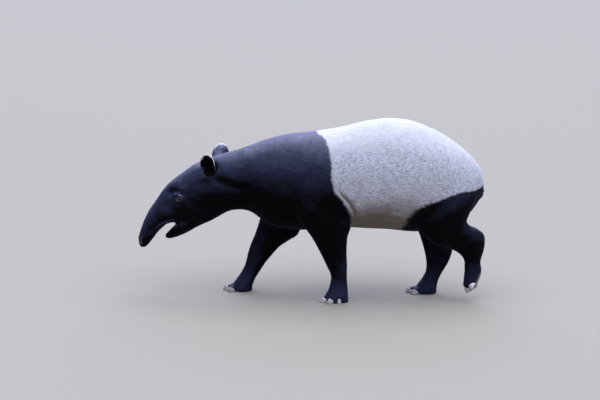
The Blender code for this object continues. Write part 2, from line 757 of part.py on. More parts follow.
def tail():
    root, tip = Vector(TAIL_ROOT), Vector(TAIL_TIP)
    axis = (tip - root).normalized()
    across = Vector((0, 1, 0))
    front = axis.cross(across)
    rings = []
    steps = 6
    for step in range(steps + 1):
        share = step / steps
        radius = TAIL_RADII[0] + (TAIL_RADII[1] - TAIL_RADII[0]) * share
        radius *= math.sqrt(1.0 - 0.75 * max(0.0, share - 0.7) / 0.3)
        centre = root.lerp(tip, share)
        rings.append([centre + across * radius * math.cos(a) + front * radius * math.sin(a)
                      for a in (math.tau * index / TAIL_SIDES for index in range(TAIL_SIDES))])
    return loft("tail", rings)


def centre_over_origin(pieces):
    """Shift all pieces sideways so that the middle of their box is over the origin."""
    for axis in (0, 1):
        places = [vert.co[axis] for piece in pieces for vert in piece.data.vertices]
        middle = (min(places) + max(places)) / 2
        for piece in pieces:
            for vert in piece.data.vertices:
                vert.co[axis] -= middle


def finish(item, material):
    """Colour a piece and shade its round faces smooth."""
    item.data.materials.clear()
    item.data.materials.append(material)
    item.data.shade_smooth()
    item.data.set_sharp_from_angle(angle=math.radians(35))


def part_head(head):
    """Cut the eyes, nostrils, jaw and snout out of the head. Gives the new pieces."""
    combine(head, [turn_aside(lid_ring(side)) for side in (-1, 1)], "UNION")
    combine(head, [turn_aside(eye_opening(side)) for side in (-1, 1)], "DIFFERENCE")
    combine(head, [turn_aside(nostril(side)) for side in (-1, 1)], "DIFFERENCE")
    eyes = [turn_aside(eyeball(-1, "eye_left")), turn_aside(eyeball(1, "eye_right"))]
    combine(head, [grown(eye) for eye in eyes], "DIFFERENCE")
    jaw = part_off(head, turn_aside(jaw_cell()), "lower_jaw")
    snout = split_between(head, SNOUT_ROOT_TOP, SNOUT_ROOT_LOW, "snout")
    return eyes, jaw, snout


def part_feet(legs):
    """Split each foot off its leg and seat its hooves in it."""
    feet, hooves = [], []
    for leg, (point, normal) in WRIST_CUTS.items():
        foot_name = leg.replace("leg", "foot")
        foot = split(legs[leg], point, normal, foot_name)
        shoes = [hoof(foot_name, toe) for toe in FEET[foot_name][-1]]
        combine(foot, [grown(shoe) for shoe in shoes], "DIFFERENCE")
        feet.append(foot)
        hooves += shoes
    return feet, hooves


def main():
    clear_scene()
    black = make_material("black coat", BLACK_COAT, 0.6)
    pale = make_material("pale coat", PALE_COAT, 0.7)
    horn = make_material("horn", HORN, 0.5)
    brown = make_material("eye", EYE_BROWN, 0.05)

    saddle = blended_body()
    saddle.name = "saddle"
    keep_side(saddle, Vector((0, 0, 0)), Vector((0, 0, -1)))
    legs = {name: part_off(saddle, cell, name) for name, cell in leg_cells().items()}
    rump = split_between(saddle, SADDLE_BACK_HIGH, SADDLE_BACK_LOW, "rump_base", ahead=False)
    chest = split_between(saddle, SADDLE_FRONT_TOP, SADDLE_FRONT_LOW, "chest")
    neck = turn_aside(split_between(chest, NECK_BASE_TOP, NECK_BASE_LOW, "neck"))
    head = split_between(neck, NECK_TOP_TOP, NECK_TOP_LOW, "head")
    eyes, jaw, snout = part_head(head)
    ears = [turn_aside(ear("left")), turn_aside(ear("right"))]
    for item in ears:
        combine(item, [grown(head), grown(neck)], "DIFFERENCE")
    stub = tail()
    combine(stub, [grown(saddle), grown(rump)], "DIFFERENCE")
    feet, hooves = part_feet(legs)

    dark = [rump, chest, neck, head, snout, jaw, stub] + ears + feet + list(legs.values())
    for items, material in ((dark, black), ([saddle], pale), (hooves, horn), (eyes, brown)):
        for item in items:
            finish(item, material)
    centre_over_origin(dark + [saddle] + hooves + eyes)


main()
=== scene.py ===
# %% [markdown]
# # A Malayan tapir at life size
#
# This lesson dresses a plain solid model of a walking Malayan tapir. The solids say how big
# every part is and where it sits. What is added here is what makes it an animal: one skin with
# folds, lids and nostrils, a short coat in black and pale grey, worn hooves and wet eyes.
#
# The imported solids come in through a small kit of helpers. All sizes are in metres, Z is up,
# and the tapir walks towards -X with its left side towards -Y.

# %% Load the solids and note their box
import json
import math

import bmesh
import bpy
import numpy as np
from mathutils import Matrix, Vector
from mathutils.bvhtree import BVHTree

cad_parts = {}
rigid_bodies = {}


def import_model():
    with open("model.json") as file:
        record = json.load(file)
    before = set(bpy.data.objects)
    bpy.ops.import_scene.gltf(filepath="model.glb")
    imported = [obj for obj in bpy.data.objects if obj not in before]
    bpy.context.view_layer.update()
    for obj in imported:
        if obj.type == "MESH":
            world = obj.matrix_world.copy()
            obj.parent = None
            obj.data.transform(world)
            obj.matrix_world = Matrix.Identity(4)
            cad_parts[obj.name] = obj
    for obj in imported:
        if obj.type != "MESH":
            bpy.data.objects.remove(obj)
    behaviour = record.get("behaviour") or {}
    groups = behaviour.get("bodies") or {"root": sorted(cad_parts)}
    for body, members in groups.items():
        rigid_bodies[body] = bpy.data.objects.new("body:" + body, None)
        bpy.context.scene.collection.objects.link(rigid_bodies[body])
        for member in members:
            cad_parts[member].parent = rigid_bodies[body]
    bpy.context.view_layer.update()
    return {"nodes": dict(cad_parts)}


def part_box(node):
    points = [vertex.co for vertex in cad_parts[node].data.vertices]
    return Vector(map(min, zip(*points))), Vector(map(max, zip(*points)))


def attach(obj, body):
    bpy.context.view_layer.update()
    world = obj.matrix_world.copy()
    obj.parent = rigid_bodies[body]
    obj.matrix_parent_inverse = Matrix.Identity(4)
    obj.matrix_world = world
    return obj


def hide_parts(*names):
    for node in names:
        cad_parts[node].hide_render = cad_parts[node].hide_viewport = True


for leftover in list(bpy.data.objects):
    bpy.data.objects.remove(leftover)
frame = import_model()
print("solid nodes:", len(frame["nodes"]))

# %% [markdown]
# The names of the solids sort themselves into flesh, hooves and eyes. The flesh is everything
# that one skin will cover. The ears are flesh too, but they are thin cups, so they get a mesh
# of their own further down, which is joined to the same skin.

# %% Sort the nodes
HOOVES = sorted(name for name in frame["nodes"] if "_hoof_" in name)
EYES = ("eye_left", "eye_right")
EARS = ("ear_left", "ear_right")
FLESH = sorted(set(frame["nodes"]) - set(HOOVES) - set(EYES))
print("flesh:", len(FLESH), "hooves:", len(HOOVES))

# %% [markdown]
# Meshes with a hundred thousand points are slow to edit one point at a time, so the points
# are taken out as arrays of numbers, changed all together and put back. These helpers do that.

# %% Helpers for points as arrays
def rows_of(items, field, width=3, kind=np.float32):
    """One field of a mesh's points, edges or faces, with one row for each."""
    flat = np.empty(len(items) * width, kind)
    items.foreach_get(field, flat)
    return flat.reshape(-1, width)


def points_of(mesh):
    return rows_of(mesh.vertices, "co").astype(float)


def normals_of(mesh):
    """The outward direction at each point."""
    return rows_of(mesh.vertex_normals, "vector").astype(float)


def edges_of(mesh):
    return rows_of(mesh.edges, "vertices", 2, np.int32)


def place_points(mesh, points):
    mesh.vertices.foreach_set("co", points.astype(np.float32).ravel())
    mesh.update()


def unit(rows):
    """Each row scaled to length one."""
    return rows / np.maximum(np.linalg.norm(rows, axis=-1, keepdims=True), 1e-9)


def ramp(low, high, values):
    """A soft step from 0 at low to 1 at high."""
    share = np.clip((values - low) / (high - low), 0.0, 1.0)
    return share * share * (3.0 - 2.0 * share)


def neighbour_mean(values, edges):
    """For each point, the mean of a value over the points that share an edge with it."""
    count = len(values)
    one, two = edges[:, 0], edges[:, 1]
    share = np.maximum(np.bincount(one, minlength=count) + np.bincount(two, minlength=count), 1)
    columns = []
    for column in values.T:
        total = np.bincount(one, column[two], count) + np.bincount(two, column[one], count)
        columns.append(total / share)
    return np.stack(columns, axis=1)


# %% [markdown]
# Skin is never perfectly even. A value noise gives each place in space a number between -1
# and 1 that changes softly over a chosen distance. It is worked out from the place alone, so
# it is the same on every run.

# %% A soft noise over space
def hashed(cells, seed):
    """A repeatable number from 0 to 1 for each whole-numbered cell."""
    mixed = np.sin(cells @ np.array((12.9898, 78.233, 37.719)) + seed * 4.1414) * 43758.5453
    return mixed - np.floor(mixed)


def noise(points, size, seed=0):
    """Soft noise from -1 to 1, whose bumps are about size apart."""
    places = points / size
    base = np.floor(places)
    part = places - base
    part = part * part * (3.0 - 2.0 * part)
    total = np.zeros(len(points))
    for dx in (0, 1):
        for dy in (0, 1):
            for dz in (0, 1):
                corner = np.array((dx, dy, dz), float)
                weight = np.abs(1.0 - corner - part).prod(axis=1)
                total += weight * hashed(base + corner, seed)
    return total * 2.0 - 1.0


# %% [markdown]
# ## One skin over the whole body
#
# The solids meet with thin gaps, as separate parts must. Real skin runs on over all of them.
# A voxel remesh is the quickest way to that: the solids are joined, filled with small cells,
# and a new surface is drawn round the filled space, so every gap closes. The hooves and eyes
# go in as well, and the skin is then set back a little, so that the real ones stand out of it.

# %% Join the solids and draw one surface round them
SKIN_CELL = 0.0066


def editable(*meshes):
    """A mesh to edit that holds copies of the given ones."""
    bm = bmesh.new()
    for mesh in meshes:
        bm.from_mesh(mesh)
    return bm


def mesh_from(bm, title):
    """The edited mesh, written out under a title."""
    mesh = bpy.data.meshes.new(title)
    bm.to_mesh(mesh)
    bm.free()
    return mesh


def added(title, data):
    """A new object in the scene, for a mesh, a lamp or a camera."""
    item = bpy.data.objects.new(title, data)
    bpy.context.scene.collection.objects.link(item)
    return item


def solids(names):
    return [frame["nodes"][name].data for name in names]


def remeshed(names, title, cell):
    """A piece with one closed surface round all the named solids."""
    piece = added(title, mesh_from(editable(*solids(names)), title))
    shell = piece.modifiers.new("shell", "REMESH")
    shell.mode = "VOXEL"
    shell.voxel_size = cell
    bpy.context.view_layer.update()
    graph = bpy.context.evaluated_depsgraph_get()
    mesh = bpy.data.meshes.new_from_object(piece.evaluated_get(graph))
    piece.modifiers.clear()
    piece.data = mesh
    return piece


core = [name for name in FLESH if name not in EARS]
skin = remeshed(core + HOOVES + list(EYES), "skin", SKIN_CELL)
print("skin points:", len(skin.data.vertices))

# %% [markdown]
# The solids are faceted, and the flat faces would show in the light. Plain smoothing would
# shrink the legs, so each round of it is followed by a slightly larger step back outwards,
# which takes out the small ripples and leaves the size alone. Only the wide barrel, where
# there is nothing thin to lose, is then relaxed by plain smoothing as well.

# %% Smooth away the facets
SMOOTH_ROUNDS = 45
SMOOTH_IN = 0.50
SMOOTH_OUT = -0.52
KEPT_DETAIL = 0.35          # how much less the face and the feet are smoothed
BARREL_ROUNDS = 110
RELAX_STEP = 0.6


def pulled(points, edges, share):
    """Points moved a share of the way to the mean of their neighbours."""
    return points + (neighbour_mean(points, edges) - points) * share


def evened(points, edges, rounds, strength):
    """Points with their small ripples smoothed out, with a strength for each point."""
    for _round in range(rounds):
        for step in (SMOOTH_IN, SMOOTH_OUT):
            points = pulled(points, edges, strength * step)
    return points


def relaxed(points, edges, share, rounds):
    """Points smoothed the plain way, as much as each one's share says."""
    for _round in range(rounds):
        points = pulled(points, edges, (share * RELAX_STEP)[:, None])
    return points


skin_points, skin_edges = points_of(skin.data), edges_of(skin.data)
detail = np.maximum(ramp(-0.50, -0.62, skin_points[:, 0]), ramp(0.14, 0.08, skin_points[:, 2]))
strength = (1.0 - KEPT_DETAIL * detail)[:, None]
skin_points = evened(skin_points, skin_edges, SMOOTH_ROUNDS, strength)
barrel = ramp(0.47, 0.60, skin_points[:, 2]) * ramp(-0.55, -0.38, skin_points[:, 0])
skin_points = relaxed(skin_points, skin_edges, barrel, BARREL_ROUNDS)
place_points(skin.data, skin_points)
print("smoothed over", SMOOTH_ROUNDS, "and", BARREL_ROUNDS, "rounds")

# %% [markdown]
# ## The head's own directions
#
# The head is turned a little to the tapir's right, so its features don't line up with the
# world's axes. Places on it are easier to give as distances forward of the eyes, sideways and
# up. The two eye solids show where its middle is, and the line between them is its sideways.

# %% Measure along the head
UP = np.array((0.0, 0.0, 1.0))
NECK_STARTS, NECK_LONG = -0.347, 0.30
NECK_BEND, HEAD_TURN = 0.41, 0.25


def middle_of(name):
    low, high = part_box(name)
    return np.array((low + high) / 2)


EYE_LEFT, EYE_RIGHT = middle_of("eye_left"), middle_of("eye_right")
HEAD_MIDDLE = (EYE_LEFT + EYE_RIGHT) / 2 * (1, 1, 0)
HEAD_SIDE = unit((EYE_RIGHT - EYE_LEFT) * (1, 1, 0))
HEAD_FORWARD = np.array((-HEAD_SIDE[1], HEAD_SIDE[0], 0.0))


def head_places(points):
    """Distance forward of the eyes, sideways from the middle (right is +) and height."""
    off = points - HEAD_MIDDLE
    return np.stack((off @ HEAD_FORWARD, off @ HEAD_SIDE, points[:, 2]), axis=1)


def either_side(points):
    """The same places, with the left side laid over the right one."""
    forward, side, height = head_places(points).T
    return np.stack((forward, np.abs(side), height), axis=1)


def head_point(forward, side, height):
    return HEAD_MIDDLE + HEAD_FORWARD * forward + HEAD_SIDE * side + UP * height


def middle_line(x):
    """How far the animal's middle has swung to its right at x, along the bent neck."""
    past = NECK_STARTS - x
    beyond = np.clip(past - NECK_LONG, 0.0, 1.0)
    return NECK_BEND * np.clip(past, 0.0, NECK_LONG) ** 2 + HEAD_TURN * beyond


print("the head looks along", np.round(HEAD_FORWARD, 3))

# %% [markdown]
# The face, the lids and the toes need finer points than the flank does. Only the faces there
# are split in four, so the rest of the skin stays light.

# %% Split the faces where fine detail goes
FINE_SPOTS = (((0.0, 0.080, 0.585), 0.040), ((0.262, 0.030, 0.311), 0.030))  # eye, nostril


def refine(mesh, wanted):
    """Split each wanted face, given as one true or false for each face."""
    bm = editable(mesh)
    bm.faces.ensure_lookup_table()
    edges = {edge for index in np.flatnonzero(wanted) for edge in bm.faces[index].edges}
    bmesh.ops.subdivide_edges(bm, edges=list(edges), cuts=1, use_grid_fill=True)
    bm.to_mesh(mesh)
    bm.free()


def on_face_or_feet(points):
    return (points[:, 0] < -0.47) | (points[:, 2] < 0.15)


def near_eye_or_nostril(points):
    places = either_side(points)
    near = [np.linalg.norm(places - spot, axis=1) < reach for spot, reach in FINE_SPOTS]
    return np.logical_or(*near)


for wanted in (on_face_or_feet, near_eye_or_nostril):
    refine(skin.data, wanted(rows_of(skin.data.polygons, "center").astype(float)))
    skin_points, skin_edges = points_of(skin.data), edges_of(skin.data)
    place_points(skin.data, evened(skin_points, skin_edges, 4, 1.0))
print("skin points after splitting:", len(skin.data.vertices))

# %% [markdown]
# ## Folds, hollows and lids
#
# A sculptor pushes soft clay in with a thumb and draws creases with the edge of a tool. Both
# can be written down. A dent is a soft hump of numbers round a place, and a crease is the same
# thing round a line. Each moves the skin in or out along its own outward direction.

# %% The thumb and the edge
def hump(points, centre, radii):
    """1 at the centre, falling softly to 0 about two radii away."""
    off = (points - np.array(centre)) / np.array(radii)
    return np.exp(-(off * off).sum(axis=1))


def line_distance(points, line):
    """Distance to the nearest place on a line of points, and how far along it that is."""
    line = np.array(line, float)
    best = np.full(len(points), 1e9)
    along = np.zeros(len(points))
    run = 0.0
    for start, end in zip(line[:-1], line[1:]):
        step = end - start
        length = np.linalg.norm(step)
        share = np.clip((points - start) @ step / length ** 2, 0.0, 1.0)
        gap = np.linalg.norm(points - start - share[:, None] * step, axis=1)
        closer = gap < best
        best[closer] = gap[closer]
        along[closer] = run + share[closer] * length
        run += length
    return best, along / run


def crease(points, line, width):
    """1 along the middle of a line, falling to 0 beside it and towards its two ends."""
    gap, along = line_distance(points, line)
    return np.exp(-(gap / width) ** 2) * ramp(0.0, 0.2, along) * ramp(1.0, 0.75, along)


def mirrored(line):
    """The same line on the tapir's right side, on its bent neck and head."""
    return [(x, 2 * middle_line(x) - y, z) for x, y, z in line]


# %% [markdown]
# Two places need a stronger hand: the upper lip, whose edge came out bumpy, and the angle of
# the jaw, where the cheek should run into the throat without a step. Both are relaxed, most in
# the middle of the place and not at all outside.

# %% Relax the lip and the angle of the jaw
# Forward of the eyes and height, along the edge of the upper lip from its corner to the tip
LIP_FORWARD = (0.040, 0.080, 0.130, 0.170, 0.210, 0.250)
LIP_HEIGHT = (0.440, 0.432, 0.405, 0.362, 0.310, 0.270)
LIP_ROUNDS = 14
JAW_ANGLE = (-0.085, 0.070, 0.440), (0.060, 0.070, 0.060)
JAW_ROUNDS = 220

skin_points = points_of(skin.data)
sided = either_side(skin_points)
lip_gap = np.abs(np.interp(sided[:, 0], LIP_FORWARD, LIP_HEIGHT) - sided[:, 2])
lip = ramp(0.022, 0.010, lip_gap) * ramp(0.030, 0.050, sided[:, 0])
skin_points = relaxed(skin_points, skin_edges, lip, LIP_ROUNDS)
jaw_angle = np.minimum(1.0, 1.6 * hump(sided, *JAW_ANGLE))
skin_points = relaxed(skin_points, skin_edges, jaw_angle, JAW_ROUNDS)
place_points(skin.data, skin_points)
print("relaxed", int((lip > 0.5).sum()), "lip and", int((jaw_angle > 0.5).sum()), "jaw points")

# %% [markdown]
# The eyes of a tapir are small and sit in a low ring of lids. The opening is an almond whose
# front corner is the lower one. Three directions are laid through each eye, along the slit,
# across it and out of the head, so that both eyes can be shaped by the same numbers.

# %% Measure round an eye
SLIT_HALF = 0.0150
SLIT_HIGH = 0.0098
ALMOND_POWER = 1.7
SIDES = (-1, 1)             # left and right


def eye_axes(side):
    """Middle of an eye, then along its slit, up across the slit and out of the head."""
    middle = EYE_LEFT if side < 0 else EYE_RIGHT
    out = unit(HEAD_FORWARD * 0.30 + HEAD_SIDE * side + UP * 0.08)
    slit = HEAD_FORWARD * 0.80 - UP * 0.45
    slit = unit(slit - out * (slit @ out))
    up = np.cross(slit, out)
    return middle, slit, up * np.sign(up[2]), out


def in_eye_axes(points, side):
    middle, slit, up, out = eye_axes(side)
    off = points - middle
    return off @ slit, off @ up, off @ out


def almond(u, v):
    """0 in the middle of the opening, 1 on its edge and more outside it."""
    wide, high = np.abs(u) / SLIT_HALF, np.abs(v) / SLIT_HIGH
    return (wide ** ALMOND_POWER + high ** ALMOND_POWER) ** (1 / ALMOND_POWER)


print("eye openings:", SLIT_HALF * 2, "by", SLIT_HIGH * 2)

# %% [markdown]
# Inside the almond the skin drops behind the eyeball, at its edge it rides just over the ball,
# and outside it runs out into the cheek. The lids' lumps from the remesh are smoothed away
# first. A crease over the upper lid and a pale fold under the lower one come last.

# %% Shape the lids
BALL_RADIUS = 0.0168
LID_OVER_BALL = 0.0024
BEHIND_BALL = 0.0035
LID_ROUNDS = 60


def shape_lids(points, side):
    u, v, w = in_eye_axes(points, side)
    edge = almond(u, v)
    spread = u * u + v * v
    ball = np.sqrt(np.maximum(BALL_RADIUS ** 2 - spread, 1e-5))
    lid = np.sqrt(np.maximum((BALL_RADIUS + LID_OVER_BALL) ** 2 - spread, 3e-5))
    opened = ball - BEHIND_BALL
    wanted = opened + (lid - opened) * ramp(0.80, 1.02, edge)
    wanted = wanted + (w - wanted) * ramp(1.20, 2.30, edge)
    here = (edge < 2.4) & (w > -0.012)
    moved = np.where(here, wanted - w, 0.0)
    return points + eye_axes(side)[3] * moved[:, None]


def lid_folds(points, side):
    """The crease over the upper lid and the pale crescent fold under the lower one."""
    u, v, w = in_eye_axes(points, side)
    here = (w > -0.02).astype(float)
    ring = np.hypot(u / 0.026, v / 0.020)
    upper = np.exp(-((ring - 1.00) / 0.13) ** 2) * ramp(0.000, 0.010, v)
    under = np.hypot(u / 0.031, v / 0.029)
    fold = np.exp(-((under - 1.00) / 0.13) ** 2) - 0.9 * np.exp(-((under - 0.74) / 0.10) ** 2)
    return here * (fold * 0.0020 * ramp(-0.004, -0.014, v) - upper * 0.0018)


skin_points = points_of(skin.data)
for side in SIDES:
    u, v, w = in_eye_axes(skin_points, side)
    lumpy = np.where(w > -0.03, ramp(3.4, 2.6, almond(u, v)), 0.0)
    skin_points = relaxed(skin_points, skin_edges, lumpy, LID_ROUNDS)
    skin_points = shape_lids(skin_points, side)
place_points(skin.data, skin_points)
folds = sum(lid_folds(skin_points, side) for side in SIDES)
place_points(skin.data, skin_points + normals_of(skin.data) * folds[:, None])
print("deepest crease of the lids:", round(float(-folds.min()), 4))

# %% [markdown]
# The trunk ends in two nostrils, which are bent slits with a raised rim. They are made the
# same way, from how far each point lies from the middle of the slit.

# %% Nostrils
NOSTRIL_PLACE = (0.262, 0.034, 0.311)
NOSTRIL_HALF = (0.0052, 0.0120)
NOSTRIL_DEPTH = 0.013
NOSTRIL_RIM = 0.0018


def nostril_share(points, normals, side):
    """How far a point is from a nostril's middle, with 1 on the rim, and the way out."""
    centre = head_point(NOSTRIL_PLACE[0], side * NOSTRIL_PLACE[1], NOSTRIL_PLACE[2])
    near = np.linalg.norm(points - centre, axis=1) < 0.018
    out = unit(normals[near].mean(axis=0))
    up = unit(UP - out * out[2])
    across = np.cross(up, out)
    across *= np.sign(across @ HEAD_FORWARD)
    off = points - centre
    v = off @ up
    u = off @ across - 0.0035 * (1 - (v / NOSTRIL_HALF[1]) ** 2)
    share = np.hypot(u / NOSTRIL_HALF[0], v / NOSTRIL_HALF[1])
    return np.where(np.abs(off @ out) < 0.03, share, 9.0), out


skin_points, skin_normals = points_of(skin.data), normals_of(skin.data)
moved = np.zeros_like(skin_points)
for side in SIDES:
    share, out = nostril_share(skin_points, skin_normals, side)
    inward = -NOSTRIL_DEPTH * ramp(1.05, 0.55, share)
    rim = NOSTRIL_RIM * np.exp(-((share - 1.45) / 0.40) ** 2)
    moved += out * (inward + rim)[:, None]
place_points(skin.data, skin_points + moved)
print("nostrils go in by", round(float(np.linalg.norm(moved, axis=1).max()), 4))

# %% [markdown]
# The larger forms come next: the hollow above and ahead of each eye, the dark fold that runs
# back along the neck from under the ear, the loose skin behind the elbows and the stub of the
# tail. Their places are given on the left side, as lines and spots, and each right-side form
# is the left one mirrored.

# %% Places of the hollows and folds
NECK_FOLD = [(-0.585, -0.080, 0.708), (-0.563, -0.086, 0.704), (-0.494, -0.111, 0.685),
             (-0.420, -0.129, 0.665), (-0.364, -0.139, 0.644), (-0.310, -0.150, 0.620)]
ELBOW_FOLD = [(0.150, -0.258, 0.680), (0.173, -0.254, 0.632), (0.200, -0.250, 0.605),
              (0.225, -0.243, 0.573), (0.243, -0.232, 0.537), (0.251, -0.213, 0.505),
              (0.253, -0.180, 0.470)]
ELBOW_ROLL = [(x - 0.015, y, z - 0.003) for x, y, z in ELBOW_FOLD]
BESIDE_FOLD = [(x + 0.030, y, z + 0.012) for x, y, z in ELBOW_FOLD]
TAIL_STUB = [(0.985, 0.0, 0.640), (0.985, 0.0, 0.620), (0.985, 0.0, 0.595), (0.985, 0.0, 0.560)]
TAIL_HIGH, TAIL_WIDE = 0.0070, 0.0150
BROW = (0.056, 0.064, 0.611), (0.045, 0.030, 0.024)
UNDER_EAR, UNDER_EAR_REACH = (-0.578, -0.100, 0.693), (0.046, 0.050, 0.026)
# A place on either side of the head, how far it reaches, and how far the skin comes out there
FACE_FORMS = ((*BROW, -0.0080),
              ((0.150, 0.050, 0.458), (0.022, 0.030, 0.030), -0.0035),
              ((-0.010, 0.085, 0.632), (0.034, 0.020, 0.012), 0.0030))
# A line on either side, its width, and how far the skin comes out there
BODY_FOLDS = ((ELBOW_FOLD, 0.0080, -0.0080), (NECK_FOLD, 0.028, -0.0060),
              (ELBOW_ROLL, 0.011, 0.0024), (BESIDE_FOLD, 0.018, 0.0025))
# A line on either side, its width, and how sheltered from the sky it is
SHELTERED_LINES = ((ELBOW_FOLD, 0.0042, 0.80), (NECK_FOLD, 0.022, 0.35))
print("forms:", len(FACE_FORMS), "on the face and", len(BODY_FOLDS), "along lines")

# %% [markdown]
# All these forms are summed into one number for each point, which moves it in or out. The
# wrinkles that a moving wrist or ankle makes are a wave over the height. How sheltered a place
# is gets noted too, for painted shade, because little light from the sky reaches the deep ones.

# %% Press in the hollows and folds
WRINKLE_PITCH, WRINKLE_DEPTH = 0.016, 0.0007


def tree_of(*meshes):
    """A tree that finds the nearest place on the given meshes."""
    bm = editable(*meshes)
    tree = BVHTree.FromBMesh(bm)
    bm.free()
    return tree


def skin_crease(line, width):
    """A crease along the line, once its points are moved onto the skin."""
    on_skin = [tuple(skin_tree.find_nearest(Vector(place))[0]) for place in line]
    return crease(skin_points, on_skin, width)


skin_tree = tree_of(skin.data)
skin_points, skin_normals = points_of(skin.data), normals_of(skin.data)
sided = either_side(skin_points)
folded = sum(out * hump(sided, centre, reach) for centre, reach, out in FACE_FORMS)
# Painted shade: the brow hollow, the neck and elbow folds and the skin under each ear are marked
# sheltered, which darkens their colour later
sheltered = 0.75 * hump(sided, *BROW)
for mirror in (list, mirrored):
    folded += sum(out * skin_crease(mirror(line), width) for line, width, out in BODY_FOLDS)
    shades = [dark * skin_crease(mirror(line), width) for line, width, dark in SHELTERED_LINES]
    below_ear = 0.50 * hump(skin_points, mirror([UNDER_EAR])[0], UNDER_EAR_REACH)
    sheltered = np.maximum.reduce([sheltered, below_ear, *shades])
folded += TAIL_HIGH * skin_crease(TAIL_STUB, TAIL_WIDE) ** 0.6
height = skin_points[:, 2]
ankle = ramp(0.05, 0.08, height) * ramp(0.19, 0.13, height)
rings = np.sin(height * 2 * math.pi / WRINKLE_PITCH + 3.0 * noise(skin_points, 0.05, 4))
folded -= WRINKLE_DEPTH * ankle * np.maximum(rings, 0.0)
folded += 0.0012 * noise(skin_points, 0.070, 1) + 0.0004 * noise(skin_points, 0.022, 2)
place_points(skin.data, skin_points + skin_normals * folded[:, None])
print("deepest fold:", round(float(-folded.min()), 4))

# %% [markdown]
# ## Set the skin back by the depth of the coat
#
# The solids reach to the tips of the hair. The skin therefore lies a few millimetres inside
# them, so that the coat on top brings the size back. Round the hooves it goes deeper, so that
# the horn stands out of the foot, and at the lids, lips and nostrils, where hair is very
# short, it hardly moves.

# %% Set the skin back
COAT_DEPTH = 0.0022
FACE_DEPTH = 0.0010
UNDER_HOOF = 0.0065
HOOF_REACH = 0.03
SOLE_HEIGHT = 0.0012


def distances(points, tree, reach):
    """Distance from each point to a tree, given up at reach."""
    found = (tree.find_nearest(Vector(point), reach)[3] for point in points)
    return np.array([reach if gap is None else gap for gap in found])


skin_points, skin_normals = points_of(skin.data), normals_of(skin.data)
low = skin_points[:, 2] < 0.16
hoof_gap = np.full(len(skin_points), HOOF_REACH)
hoof_gap[low] = distances(skin_points[low], tree_of(*solids(HOOVES)), HOOF_REACH)
depth = np.full(len(skin_points), COAT_DEPTH)
depth -= (COAT_DEPTH - FACE_DEPTH) * ramp(-0.50, -0.70, skin_points[:, 0])
depth += (UNDER_HOOF - depth) * ramp(0.010, 0.003, hoof_gap)
skin_points = skin_points - skin_normals * depth[:, None]
skin_points[:, 2] = np.maximum(skin_points[:, 2], SOLE_HEIGHT)
place_points(skin.data, skin_points)
print("skin set back by", COAT_DEPTH, "and at the hooves by", UNDER_HOOF)

# %% [markdown]
# ## Ears
#
# An ear of a tapir is an upright oval cup with a white edge. Its wall is about as thick as a
# coin, which is thinner than the cells of the remesh, so the ears are built on their own. A
# table says how wide each is at a share of its length, and how far round its edge curls.

# %% Measure the ears
EAR_LENGTH = 0.146
EAR_WIDTH = 0.098
# Share of the length, share of the width, and how far round the edge curls, in degrees
EAR_FORM = ((0.00, 0.46, 165), (0.18, 0.66, 140), (0.36, 0.90, 98), (0.55, 1.00, 78),
            (0.78, 0.93, 66), (0.90, 0.70, 62), (0.97, 0.42, 60), (1.00, 0.12, 60))
# The root, the tip and the way the cup faces
EAR_PLACES = {
    "left": ((-0.576, -0.056, 0.706), (-0.569, -0.119, 0.828), (-0.500, -0.860, -0.100)),
    "right": ((-0.530, 0.081, 0.738), (-0.500, 0.120, 0.870), (-0.247, 0.959, -0.100)),
}


def smooth_table(rows, shares):
    """The rows of a table, read at any share with a smooth curve through them."""
    table = np.array(rows, float)
    fine = np.linspace(0.0, 1.0, 201)
    columns = []
    for column in table.T[1:]:
        values = np.interp(fine, table[:, 0], column)
        for _round in range(24):
            values[1:-1] = (values[:-2] + values[2:] + 2 * values[1:-1]) / 4
        columns.append(np.interp(shares, fine, values))
    return columns


def ear_axes(side):
    """Root of an ear, then along it, across it and out of its cup."""
    root, tip, facing = (np.array(part) for part in EAR_PLACES[side])
    axis = unit(tip - root)
    facing = unit(facing - axis * (axis @ facing))
    return root, axis, np.cross(axis, facing), facing


print("ears:", EAR_LENGTH, "long and", EAR_WIDTH, "wide")

# %% [markdown]
# Each ear is drawn row by row. A row is an arc seen from above, wrapped almost shut at the
# stalk and open further up. There is an outer sheet and an inner one, which meet in a rounded
# edge. The stalk's foot flares out and sinks into the head, as the skin there does.

# %% Draw the two sheets of an ear
EAR_ROWS = 44
EAR_COLUMNS = 40
EAR_WALL = 0.0032
EAR_SUNK = -0.20            # the stalk starts this share of the length under the root
EAR_CUP = (-0.16, 0.04)     # shares between which the cup opens


